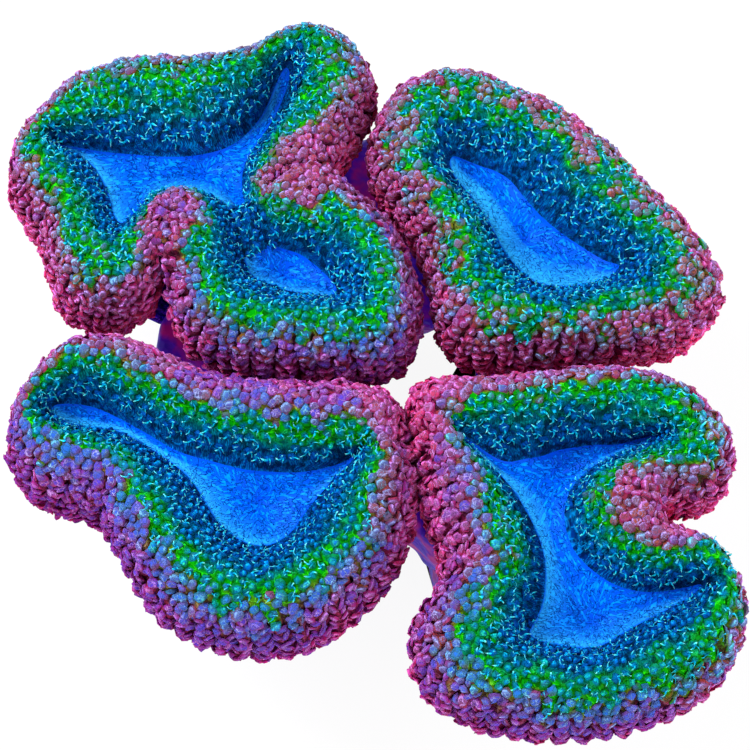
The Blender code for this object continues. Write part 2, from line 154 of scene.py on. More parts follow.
FRONT_RIGHT_STATIONS: tuple[STATION, ...] = (
    (14, -13.5, 4.6, -7.5, 5), (18, -17, 5.4, -14, 3), (23, -21, 6.4, -19, 0),
    (25.5, -25, 7.4, -24.5, 0), (27.5, -29, 9.2, -30, 0), (29, -34, 10.8, -35, 0),
    (29, -38, 10.2, -39.4, 0), (28.5, -42, 7, -43, 0), (27, -45, 5, -47.5, 0),
    (26, -47.5, 6, -53.5, 1), (28.5, -48.5, 10.5, -59.5, 0), (31.5, -49, 19.5, -63, 0),
    (35, -49.5, 29, -64.5, 0), (38.5, -49, 38.5, -64, 0), (42, -47, 47.5, -61.5, 0),
    (45.5, -45, 55, -58, 0), (49.5, -43, 60.5, -52.5, 0), (53.5, -41, 63, -46, 1),
    (55.5, -39.5, 63, -39.5, 3), (52.5, -39.5, 60.5, -33.5, 1), (47, -40, 56, -30, 0),
    (41.5, -39, 51.5, -28.7, 0), (37.5, -36.5, 49.5, -28, 0), (34, -33, 48.5, -27.7, 0),
    (32.5, -28.5, 48.2, -27, 0), (32.5, -24.5, 48.5, -26.3, 0), (34.5, -20.5, 49.5, -25.8, 0),
    (38, -17.5, 51.5, -25.5, 0), (42, -15.5, 54, -25.3, 0), (46, -14.5, 57, -25, 1),
    (49, -13.5, 61, -21.5, 3), (47, -13, 62.6, -15.5, 1), (42, -14, 60.2, -8.8, 0),
    (38, -14, 54.2, -3, 0), (34.5, -14.5, 45.5, -0.5, 0), (31.5, -15, 37.5, 0.2, 0),
    (29, -16, 30, -0.8, 0), (26, -16.5, 22, -1.5, 0), (22, -17, 13, -2, 0),
    (17, -15, 6.4, -3.4, 3),
)

# Outline of the stump, counter-clockwise: an arm under each stalk
STUMP_OUTLINE = (
    (9, 3), (19, 6), (20, 19), (22, 33), (33, 34), (40.5, 25), (38, 11), (33, 0), (37, -10),
    (40, -22), (34, -34), (22, -36), (12.5, -29), (9, -17), (1, -13), (-6.5, -17), (-9, -26),
    (-20, -31), (-31, -25), (-34, -14), (-28, -3), (-27, 5), (-33.5, 13), (-35, 26), (-26, 36.5),
    (-14, 35.5), (-7, 25), (-4.5, 12),
)
# (height, share of the outline's size) of the stump's rings, from the top down
STUMP_RINGS = ((12.6, 0.93), (12.0, 0.985), (10.8, 1.0), (6.0, 1.0), (1.2, 0.97), (0.4, 0.95),
               (0.0, 0.94))

# Outlines of the webs of tissue that join neighbouring stalks, counter-clockwise
BACK_WEB = (
    (7, 19), (12, 18), (13, 23), (9.5, 31), (4.5, 38), (3.5, 46), (5, 54), (1.5, 57.5), (-3.5, 56),
    (-7, 50), (-8, 42), (-6, 36), (-1, 30), (3, 24),
)
LEFT_WEB = (
    (-38.5, 4), (-32, 1), (-26, 6), (-27, 14), (-31, 22), (-38, 21), (-40, 13),
)
FRONT_WEB = (
    (1, -20), (6, -22), (9, -26), (12.5, -29), (14, -24), (12, -14), (8, -4), (1, -4), (-1, -12),
)
# (height, share of the outline's size) of a web's rings, from the top down
WEB_RINGS = ((30.0, 0.82), (28.5, 0.95), (25.0, 1.0), (20.0, 0.97), (16.0, 0.86), (14.0, 0.7))

# Ribs and lumps of the flesh, and how far the skin lies under its papillae; each by rim row
RIB_SPACING = 3.75
RIB_HEIGHT = 2.7
RIB_ROWS = ((4.5, 6.5, 10.5, 12.0, 13.5), (0.0, 1.0, 1.0, 0.6, 0.3))
RIB_ROUNDNESS = 0.5
RIB_SINK = 0.85
FURROW_STEEPNESS = 1.7
RIB_WANDER = 1.5
RIB_WANDER_SIZE = 9.0
LUMP_HEIGHT = 0.7
LUMP_SIZE = 4.5
LUMP_ROWS = ((0.0, 1.5, 4.0, 12.0, 14.0), (0.0, 0.4, 1.0, 1.0, 0.3))
INSET_ROWS = ((0.0, 1.0, 3.0, 6.0, 10.5, 12.0), (0.0, 0.25, 0.6, 0.8, 0.8, 0.0))
# The ring whose length counts the ribs, and the marks between two of its corners
RIB_RING = 8
RIB_MARKS = 4
STRIA_WIDTH = 0.45
STRIAE_PER_ROW = 1.3
STUMP_LUMP_SIZE = 3.5
STUMP_LUMP_HEIGHT = 0.5

# Rows of the colour bands: where green, the mixed border, pink and the stalk start
GREEN_ROW = 3.4
MIXED_ROW = 4.8
PINK_ROW = 5.8
STALK_ROW = 12.0
# Row whose colour the mounds over closed folds keep, how far past the fold they reach, how
# they fade to its end, and from which height over the disc they count
MOUND_ROW = 6.4
MOUND_REACH = 1.6
MOUND_FADE = 0.5
MOUND_HEIGHTS = ((2.0, 7.0), (0.0, 1.0))
BAND_SPAN = 14.0
# Patches of stray colour: their size in millimetres, how many rows they stray, and on which
PATCH_SIZE = 3.4
PATCH_STRAY = 2.6
PATCH_ROWS = ((2.0, 3.5, 6.0, 9.0), (0.0, 1.0, 1.0, 0.0))

# Skin marks round each lobe: x, y, the rim rows where the green starts and ends and where
# the pink starts, and how warm the pink is, from lilac at -1 to rust at 1
BACK_LEFT_MARKS = (
    (-60, 36, 2.8, 5.0, 5.6, 0.5), (-53, 24, 2.5, 5.0, 5.6, 0.5), (-47, 14, 3.0, 5.2, 5.8, 0.2),
    (-40, 30, 2.3, 2.6, 3.0, 0.1), (-34, 32, 2.2, 2.5, 2.9, 0.1), (-28, 29, 2.4, 2.8, 3.2, 0.0),
    (-30, 18, 3.3, 4.6, 5.6, 0.0), (-22, 7, 3.5, 5.2, 6.1, -0.3), (-5, 7, 3.8, 5.2, 6.1, -0.5),
    (1, 17, 3.5, 5.0, 5.8, 0.0), (-5, 29, 2.5, 4.8, 5.4, 0.1), (-13, 31, 1.6, 2.8, 3.1, 0.7),
    (-15, 37, 1.8, 2.8, 3.5, 0.7), (-10, 50, 2.0, 4.8, 5.5, 0.8), (-9, 63, 2.8, 4.6, 6.4, 0.2),
    (-25, 59, 3.0, 4.7, 6.7, 0.2), (-45, 56, 2.8, 4.9, 6.5, 0.3),
)
BACK_RIGHT_MARKS = (
    (55, 19, 3.2, 4.0, 5.8, 0.9), (42, 37, 3.2, 4.0, 6.2, 0.9), (31, 49, 3.2, 4.1, 6.0, 0.9),
    (18, 55, 3.0, 4.0, 6.0, 0.6), (6, 49, 2.4, 4.2, 5.6, 0.5), (9, 38, 2.8, 5.0, 5.8, 0.6),
    (14, 24, 1.8, 4.6, 5.8, 0.8), (18, 13, 2.6, 5.1, 6.0, 0.5), (32, 8, 4.0, 5.4, 6.4, 0.6),
    (50, 9, 3.8, 5.0, 6.0, 0.9),
)
FRONT_LEFT_MARKS = (
    (1, -13, 1.2, 2.9, 3.4, 0.3), (-10, -10, 1.6, 3.0, 3.9, -0.2), (-25, -8, 2.3, 3.1, 4.2, -0.5),
    (-42, -1, 2.3, 3.4, 4.3, 0.1), (-57, -5, 3.0, 4.2, 5.0, -0.1), (-57, -16, 2.1, 3.6, 5.3, -0.8),
    (-46, -20, 2.4, 4.0, 5.4, -0.9), (-37, -30, 3.4, 4.9, 6.0, -0.8),
    (-22, -41, 3.9, 5.1, 6.7, -0.9), (-6, -33, 3.4, 5.0, 6.0, -0.4), (0, -22, 3.0, 4.3, 5.0, 0.2),
)
FRONT_RIGHT_MARKS = (
    (10, -11, 1.0, 1.8, 2.4, 0.4), (15, -21, 1.6, 2.7, 4.4, -0.1), (19, -32, 1.4, 3.0, 4.3, -0.1),
    (19, -45, 2.5, 4.1, 5.5, -0.4), (22, -56, 3.8, 5.5, 6.5, -0.7), (38, -57, 4.3, 6.0, 7.0, -0.8),
    (54, -51, 4.3, 6.2, 7.4, 0.0), (59, -38, 3.0, 6.0, 7.2, 0.2), (46, -33, 2.2, 3.2, 3.5, 0.6),
    (42, -26, 2.0, 3.3, 3.6, 0.6), (47, -20, 2.0, 3.8, 4.4, 0.6), (55, -18, 2.5, 5.2, 6.0, 0.4),
    (50, -8, 2.8, 5.2, 6.0, 0.3), (35, -7, 2.7, 4.2, 4.9, 0.3), (20, -9, 2.9, 4.3, 4.8, 0.4),
)

# The side of an oral disc whose border gets a painted highlight, and how much of it a border
# across it gets
HIGHLIGHT_SIDE = np.array((-0.7, -0.7))
HIGHLIGHT_LEAST = 0.25
# The side of a papilla that is painted as lit by the daylight; its other side is painted as shaded
SKY_SIDE = np.array((-0.6, 0.45, 0.66))
# How strongly an upright papilla's sides differ in painted light, and how much more a slanted
# one's
LIT_UPRIGHT, LIT_SLANTED = 0.55, 0.45

# Forms of the hooked tips: the way each prong turns, in degrees, and its length
HOOK_PRONGS = (((10, 1.0), (165, 0.6)), ((-58, 0.95), (54, 0.85)),
               ((-100, 0.8), (0, 1.0), (105, 0.7)), ((-25, 1.0), (140, 0.8)))
# Size of the low body under a hook's prongs
HOOK_BODY = (0.80, 0.80, 0.46)
HOOK_SPACING = 1.5
# Chance that a papilla of these bands is a hook on the far side, and that of any on the near
# side, and the last band that has hooks
HOOK_BANDS = ((2.6, 4.0), (0.36, 0.18))
HOOK_CHANCE_NEAR = 0.13
HOOK_LAST_BAND = 4.9

# Heights of the rings of the ball that a papilla is drawn from, then the level and the width
# that each ring gets in a blunt knob and in a pointed peak
KNOB_HEIGHTS = tuple(-math.cos(math.pi * step / 4) for step in range(5))
KNOB_LEVELS = (-0.5, -0.05, 0.45, 0.92, 1.05)
KNOB_WIDTHS = (1.0, 1.08, 0.94, 0.68, 1.0)
PEAK_WIDTHS = (1.0, 1.25, 0.74, 0.34, 1.0)
# Corners round a knob or peak and round a prong, and the rows of both
KNOB_CORNERS = 7
PRONG_CORNERS = 5
PAPILLA_ROWS = 4
# Papillae by colour band: the spacing at the front and at the back, the radius as a share of
# the spacing, and the height
SPACING_BANDS = (0.5, 2.5, 3.3, 4.1, 4.9, 5.6, 8.0, 11.0)
SPACING_FRONT = (1.00, 1.08, 1.14, 1.32, 1.24, 1.20, 1.16, 1.20)
SPACING_BACK = (0.95, 1.00, 1.12, 1.34, 1.26, 1.18, 1.14, 1.20)
RADIUS_BANDS = ((2.6, 3.6, 4.8, 5.6), (0.62, 0.60, 0.72, 0.82))
HEIGHT_BANDS = ((1.0, 3.0, 5.0, 7.0, 9.0, 11.0), (0.65, 0.85, 0.80, 0.52, 0.52, 0.56))
# How much the spacing, the radius and the height vary, and those of the hooks
SPACING_RANGE, RADIUS_RANGE, HEIGHT_RANGE = (0.9, 1.12), (0.85, 1.12), (0.75, 1.25)
HOOK_RADIUS_RANGE, HOOK_HEIGHT_RANGE = (0.80, 1.18), (0.80, 1.15)
LENGTH_RANGE = (0.95, 1.15)
# Facing from which the rim counts as near, and up to which as far; and how small the hooks of
# the low bands stay on the near side
NEAR_SIDE, FAR_SIDE, LOW_BAND, HOOK_LOW = 0.35, 0.1, 3.0, 0.8
# The green bands, the chance of a broad papilla there and how much broader it is
GREEN_BANDS = (3.4, 5.4)
BROAD_CHANCE, BROAD = 0.16, 1.12
# Lean of the papillae, and rows from which they droop and from which they lie like scales
LEAN = 0.24
DROOP, DROOP_ROWS = 0.22, ((6.0, 9.0), (0.0, 1.0))
SCALE_ROWS = ((5.5, 7.5), (0.0, 1.0))
SCALE_DROOP, SCALE_TURN, HOOK_TURN = 0.25, 2.5, 0.9
SCALE_LONG, SCALE_NARROW, SCALE_TALL = 0.05, 0.22, 0.15
# Candidate points for each papilla, rows that stay bare at the disc and under the rim, and how
# deep in a furrow a papilla still grows
CANDIDATES = 5.0
BARE_DISC_FAR, BARE_DISC_NEAR, BARE_STALK_ROW = 1.2, 0.5, 11.4
FURROW_GROWN, FURROW_KEPT = 0.2, 0.3
# Band that the pink outer papillae start at, and the one up to which the far wall is bare
OUTER_BAND = 4.9
WALL_BAND = 3.3
# How neighbours push each other apart: reach as a share of the spacing, the step, how often
PUSH_REACH = 1.35
PUSH_STEP = 0.22
PUSH_PASSES = 2

# How far the points of a knob and of a hook stray, as a share of its radius
UNEVEN = 0.13
UNEVEN_HOOK = 0.055
UNEVEN_FORMS = 499
# Throws kept for each draw, and places that one face can hold
DICE_POOL = 65521
FACE_PLACES = 16
# Step between the seeds of one lobe's draws
SEED_STEP = 1000

# Angles over which an edge stays sharp, in degrees
SHARP_PAPILLA = 38.0
SHARP_STUMP = 50.0

# Paints that switch a share off and on, and the sway of the bands in the finishes
NONE = (0, 0, 0)
FULL = (255, 255, 255)
BAND_SWAY = 0.10
# Gloss of wet tissue
WET = 0.02

# Paints by rim row: of the skin and its raised lines
SKIN_PAINT = (
    (0.0, (0, 44, 124)), (1.0, (0, 42, 112)), (2.4, (0, 54, 108)), (3.3, (0, 84, 76)),
    (3.9, (0, 140, 6)), (4.7, (0, 140, 6)), (5.2, (86, 92, 10)), (5.9, (122, 40, 58)),
    (8.0, (124, 14, 70)), (10.0, (150, 6, 110)), (11.6, (90, 8, 180)), (14.0, (50, 20, 200)),
)
LINE_PAINT = (
    (0.0, (0, 130, 226)), (2.4, (0, 138, 196)), (3.3, (4, 170, 140)), (4.0, (40, 236, 16)),
    (4.7, (44, 232, 16)), (5.4, (140, 140, 70)), (6.0, (156, 84, 124)), (8.0, (130, 40, 84)),
    (11.6, (90, 30, 170)), (14.0, (60, 20, 160)),
)
# Painted shade in the furrows between the ribs
FURROW_SHADE_PAINT = (70, 4, 50)
# Paints by rim row: of a papilla's foot, edge and crown, of its painted lit and shaded sides, of
# the rusty and the lilac ones, and of the painted glints on the raised lines of all of them
# The bright magenta-red of the lowest rows is partly the coral's own colour and partly painted rim
# light along its lower edges
PAPILLA_PAINT = {
    "foot": ((0.0, (0, 50, 130)), (2.4, (0, 66, 140)), (3.1, (0, 92, 96)), (3.6, (0, 128, 8)),
             (4.8, (6, 124, 6)), (5.3, (90, 90, 8)), (5.8, (134, 50, 36)), (6.6, (140, 28, 92)),
             (8.8, (176, 20, 92)), (10.6, (206, 6, 100)), (12.0, (90, 0, 160))),
    "edge": ((0.0, (0, 80, 180)), (2.4, (0, 98, 190)), (3.3, (0, 108, 176)), (3.8, (0, 112, 150)),
             (4.5, (0, 104, 158)), (5.3, (66, 86, 150)), (6.0, (118, 76, 140)),
             (7.2, (168, 80, 158)), (8.6, (206, 78, 164)), (10.6, (244, 16, 120)),
             (12.0, (110, 6, 200))),
    "crown": ((0.0, (0, 118, 232)), (2.4, (0, 132, 226)), (3.1, (0, 138, 190)),
              (3.7, (0, 130, 170)), (4.3, (4, 120, 170)), (4.8, (26, 104, 172)),
              (5.4, (74, 82, 132)), (6.0, (94, 60, 100)), (7.2, (134, 60, 112)),
              (8.8, (172, 58, 118)), (10.6, (222, 28, 110)), (12.0, (90, 6, 176))),
    "lit": ((0.0, (10, 180, 255)), (2.6, (20, 194, 255)), (3.4, (20, 206, 200)),
            (4.4, (30, 214, 190)), (4.9, (80, 214, 240)), (5.4, (130, 190, 250)),
            (6.4, (200, 130, 236)), (8.5, (246, 104, 200)), (10.0, (255, 60, 150)),
            (12.0, (150, 50, 250))),
    "shade": ((0.0, (0, 36, 100)), (2.6, (0, 46, 96)), (3.5, (0, 100, 14)), (4.6, (2, 96, 12)),
              (5.4, (96, 56, 44)), (6.6, (140, 30, 66)), (8.5, (176, 16, 70)),
              (10.0, (214, 4, 76)), (12.0, (60, 0, 130))),
    "rust": ((4.2, (104, 108, 40)), (4.8, (142, 84, 44)), (6.4, (138, 62, 56)),
             (8.0, (196, 54, 74)), (10.0, (240, 30, 84))),
    "lilac": ((4.4, (10, 112, 190)), (5.2, (44, 88, 190)), (6.4, (76, 56, 180)),
              (8.0, (76, 34, 150)), (10.0, (96, 16, 136))),
    "glint": ((0.0, (30, 200, 255)), (3.1, (20, 214, 236)), (3.8, (30, 226, 120)),
              (4.5, (60, 226, 190)), (5.4, (150, 190, 246)), (6.4, (206, 150, 236)),
              (8.5, (240, 134, 210)), (10.0, (255, 100, 176)), (12.0, (160, 80, 240))),
    "pink": ((4.0, NONE), (4.9, FULL), (10.5, FULL), (12.0, NONE)),
    "low": ((6.4, NONE), (8.0, (200, 200, 200))),
}
# Paints of a hook from its foot to the ends of its prongs, then of its painted lit and shaded
# sides
HOOK_PAINT = ((0.35, (0, 100, 180)), (0.55, (0, 150, 210)), (0.72, (10, 206, 230)),
              (0.88, (90, 240, 240)), (1.0, (190, 255, 250)))
HOOK_LIT = (100, 226, 255)
HOOK_SHADE = (0, 90, 140)
# Paints of the oral disc: from furrow to wrinkle, the painted highlight at its near and left
# border, in a mouth and a crease
DISC_PAINT = ((0.40, (0, 76, 212)), (0.52, (0, 104, 236)), (0.64, (0, 130, 250)),
              (0.74, (0, 154, 255)))
BORDER_HIGHLIGHT_PAINT = (50, 190, 255)
MOUTH_PAINT = (0, 50, 200)
CREASE_PAINT = (0, 38, 170)
# Paints of the stump: patches of its tissue, and pores of its cut skeleton
TISSUE_PAINT = ((0.38, (44, 8, 150)), (0.5, (70, 12, 170)), (0.62, (150, 10, 120)))
SKELETON_PAINT = ((0.1, (150, 132, 108)), (0.45, (226, 214, 190)))

# Lights: name, place in metres, side in metres, watts
LIGHTS = (("key", (-0.45, 0.20, 0.60), 0.3, 8.2), ("fill", (0.35, -0.60, 0.50), 0.6, 5.5),
          ("flank", (0.65, 0.25, 0.16), 0.4, 5.5))


class Papilla(Enum):
    """Kinds of papilla that the flesh carries."""

    KNOB = "knob"
    PEAK = "peak"
    HOOK = "hook"


@dataclass(frozen=True)
class Fold:
    """A rim closed up on itself: its line, how wide it works and how far it draws the edge."""

    first: tuple[float, float]
    last: tuple[float, float]
    reach: float
    draw: float

    def gaps(self, plan: Array) -> tuple[Array, Array]:
        """Set flat points against the fold's line.

        Args:
            plan: Flat points.

        Returns:
            The share of the line that each one lies at, and the way from it to the line.
        """
        first, last = np.array(self.first), np.array(self.last)
        run = np.clip((plan - first) @ (last - first) / np.sum((last - first) ** 2), 0, 1)
        return run, first + run[:, None] * (last - first) - plan


@dataclass(frozen=True)
class Sill:
    """A low bridge of rim tissue across a disc: its middle, half sizes and turn in degrees."""

    x: float
    y: float
    along: float
    across: float
    angle: float


def linear(red: int, green: int, blue: int) -> tuple[float, float, float, float]:
    """Turn a display colour of 0 to 255 into a linear colour.

    Args:
        red: Red share.
        green: Green share.
        blue: Blue share.

    Returns:
        The linear red, green, blue and an alpha of 1.
    """
    def channel(value: int) -> float:
        """Linear value of one display channel."""
        part = value / 255
        return part / 12.92 if part <= 0.04045 else ((part + 0.055) / 1.055) ** 2.4

    return channel(red), channel(green), channel(blue), 1.0


# --------------------------------------------------------------------------- node helpers


class Nodes:
    """Short names for laying out one material's node tree."""

    def __init__(self, name: str) -> None:
        """Start a new material with a Principled shader.

        Args:
            name: Name of the material.
        """
        self.material = bpy.data.materials.new(name)
        self.material.use_nodes = True
        self.tree = self.material.node_tree
        self.shader = self.tree.nodes["Principled BSDF"]

    def add(self, kind: str, **settings: object) -> bpy.types.Node:
        """Add a node and set its properties.

        Args:
            kind: Node type, without the ShaderNode prefix.
            settings: Properties to set on the node.

        Returns:
            The new node.
        """
        node = self.tree.nodes.new("ShaderNode" + kind)
        for key, value in settings.items():
            setattr(node, key, value)
        return node

    def feed(self, target: Socket, value: object) -> None:
        """Link a socket to another one, or set it to a number or a colour."""
        if isinstance(value, Socket):
            self.tree.links.new(value, target)
        else:
            target.default_value = value

    def attribute(self, name: str, output: str = "Fac") -> Socket:
        """Read a mesh attribute."""
        return self.add("Attribute", attribute_name=name).outputs[output]

    def noise(self, source: Socket, scale: float, detail: float = 1.0,
              output: str = "Fac") -> Socket:
        """Add a noise texture.

        Args:
            source: Coordinates to read.
            scale: Features per metre.
            detail: Octaves of finer noise.
            output: Name of the output to use.

        Returns:
            The output socket.
        """
        texture = self.add("TexNoise")
        texture.inputs["Scale"].default_value = scale
        texture.inputs["Detail"].default_value = detail
        self.feed(texture.inputs["Vector"], source)
        return texture.outputs[output]

    def place(self) -> Socket:
        """Object coordinates."""
        return self.add("TexCoord").outputs["Object"]

    def math(self, operation: str, first: object, second: object) -> Socket:
        """Do one sum on sockets or numbers.

        Args:
            operation: Math node operation.
            first: A socket or a number.
            second: A socket or a number.

        Returns:
            The result socket.
        """
        node = self.add("Math", operation=operation)
        self.feed(node.inputs[0], first)
        self.feed(node.inputs[1], second)
        return node.outputs[0]

    def product(self, first: object, *others: object) -> Socket:
        """Multiply sockets and numbers, from the first to the last."""
        for other in others:
            first = self.math("MULTIPLY", first, other)
        return first

    def ramp(self, source: Socket, stops: list[tuple]) -> Socket:
        """Turn a value into a linear colour.

        Args:
            source: The value from 0 to 1.
            stops: Pairs of a place from 0 to 1 and a linear colour.

        Returns:
            The colour socket.
        """
        node = self.add("ValToRGB")
        elements = node.color_ramp.elements
        while len(elements) < len(stops):
            elements.new(0.5)
        for element, (place, colour) in zip(elements, stops):
            element.position = place
            element.color = colour
        self.feed(node.inputs["Fac"], source)
        return node.outputs["Color"]

    def painted(self, source: Socket, stops: tuple,
                span: float = 1.0) -> Socket:
        """Turn a value into a paint.

        Args:
            source: The value from 0 to 1.
            stops: Pairs of a place and a display colour.
            span: The place that a value of 1 stands for.

        Returns:
            The colour socket.
        """
        return self.ramp(source, [(place / span, linear(*paint)) for place, paint in stops])

    def share(self, source: Socket,
              *stops: tuple[float, float]) -> Socket:
        """Turn a value into a share, straight from stop to stop.

        Args:
            source: The value from 0 to 1.
            stops: Pairs of a place from 0 to 1 and the share there.

        Returns:
            The share's socket.
        """
        return self.ramp(source, [(place, (part, part, part, 1.0)) for place, part in stops])

    def mix(self, share: object, first: object, second: object,
            blend: str = "MIX") -> Socket:
        """Blend two colours.

        Args:
            share: Socket or number, how much of the second.
            first: Socket or colour.
            second: Socket or colour.
            blend: Blend type.

        Returns:
            The colour socket.
        """
        node = self.add("Mix", data_type="RGBA", blend_type=blend)
        for index, value in ((0, share), (6, first), (7, second)):
            self.feed(node.inputs[index], value)
        return node.outputs[2]

    def line(self, away: Socket, width: float) -> Socket:
        """Turn a distance into a soft line.

        Args:
            away: The distance.
            width: How far the line reaches.

        Returns:
            1 at no distance, 0 from the width on.
        """
        node = self.add("MapRange", interpolation_type="SMOOTHSTEP")
        for name, value in (("From Min", 0.0), ("From Max", width), ("To Min", 1.0),
                            ("To Max", 0.0), ("Value", away)):
            self.feed(node.inputs[name], value)
        return node.outputs["Result"]

    def ridges(self, height: Socket, width: float) -> Socket:
        """Thin raised lines where a noise passes its middle value.

        Args:
            height: A noise from 0 to 1.
            width: How far from the middle a line reaches.

        Returns:
            1 on the lines, 0 off them.
        """
        away = self.math("ABSOLUTE", self.math("SUBTRACT", height, 0.5), 0.0)
        return self.line(away, width)

    def folds(self, source: Socket, scale: float, width: float,
              bend: float) -> Socket:
        """Thin raised folds of a crumpled sheet, meeting in stars.

        Args:
            source: Coordinates to read, in metres.
            scale: Folds per metre.
            width: How wide a fold is, as a share of the room between two.
            bend: How far the folds wander, in metres.

        Returns:
            1 on the folds, 0 between them.
        """
        bent = self.add("VectorMath", operation="MULTIPLY_ADD")
        self.feed(bent.inputs[0], self.noise(source, scale * 1.3, output="Color"))
        self.feed(bent.inputs[1], (bend, bend, bend))
        self.feed(bent.inputs[2], source)
        cells = self.add("TexVoronoi", feature="DISTANCE_TO_EDGE")
        cells.inputs["Scale"].default_value = scale
        self.feed(cells.inputs["Vector"], bent.outputs[0])
        return self.line(cells.outputs["Distance"], width)

    def band(self, place: Socket, scale: float) -> Socket:
        """The colour band, which sways a little to and fro.

        Args:
            place: Coordinates to read, in metres.
            scale: Sways per metre.

        Returns:
            The band as a share of them all.
        """
        sway = self.math("SUBTRACT", self.noise(place, scale, detail=2.0), 0.5)
        return self.math("ADD", self.attribute("band"), self.product(sway, BAND_SWAY))

    def finish(self, colour: object, roughness: float, specular: float) -> None:
        """Set the colour and the gloss of the surface.

        Args:
            colour: Socket or linear colour.
            roughness: How rough it is.
            specular: Level of its shine.
        """
        self.feed(self.shader.inputs["Base Color"], colour)
        self.shader.inputs["Roughness"].default_value = roughness
        self.shader.inputs["Specular IOR Level"].default_value = specular

    def bump(self, height: Socket, depth: float, strength: float = 1.0) -> None:
        """Raise the surface by a height map.

        Args:
            height: The height from 0 to 1.
            depth: Height in metres.
            strength: Share of the effect.
        """
        node = self.add("Bump")
        node.inputs["Strength"].default_value = strength
        node.inputs["Distance"].default_value = depth
        self.feed(node.inputs["Height"], height)
        self.feed(self.shader.inputs["Normal"], node.outputs["Normal"])


# ------------------------------------------------------------------------------- finishes


@dataclass(frozen=True)
class FleshFinish:
    """The skin between the papillae: dark wall, green crest, maroon sides, indigo stalk."""

    name: str
    roughness: float = 0.5
    line_strength: float = 0.75

    def build(self) -> bpy.types.Material:
        """Lay out the material.

        Returns:
            The finished material.
        """
        nodes = Nodes(self.name)
        place = nodes.place()
        band = nodes.band(place, scale=240.0)
        skin = nodes.painted(band, SKIN_PAINT, BAND_SPAN)
        light = nodes.painted(band, LINE_PAINT, BAND_SPAN)
        striae = nodes.noise(nodes.attribute("striae", "Vector"), scale=1.0, detail=2.0)
        on_wall = nodes.painted(band, ((3.0, FULL), (3.8, NONE)), BAND_SPAN)
        crumple = nodes.folds(place, scale=800.0, width=0.16, bend=0.0009)
        lines = nodes.mix(on_wall, crumple, nodes.ridges(striae, width=0.10))
        colour = nodes.mix(nodes.product(lines, self.line_strength), skin, light)
        pits = nodes.share(nodes.noise(place, scale=700.0), (0.40, 0.35), (0.52, 1.0))
        colour = nodes.mix(1.0, colour, pits, "MULTIPLY")
        # Painted shade: the furrows between the ribs are painted dark
        colour = nodes.mix(nodes.attribute("furrow"), colour, linear(*FURROW_SHADE_PAINT))
        nodes.finish(colour, self.roughness, WET)
        nodes.bump(lines, depth=0.0003)
        return nodes.material


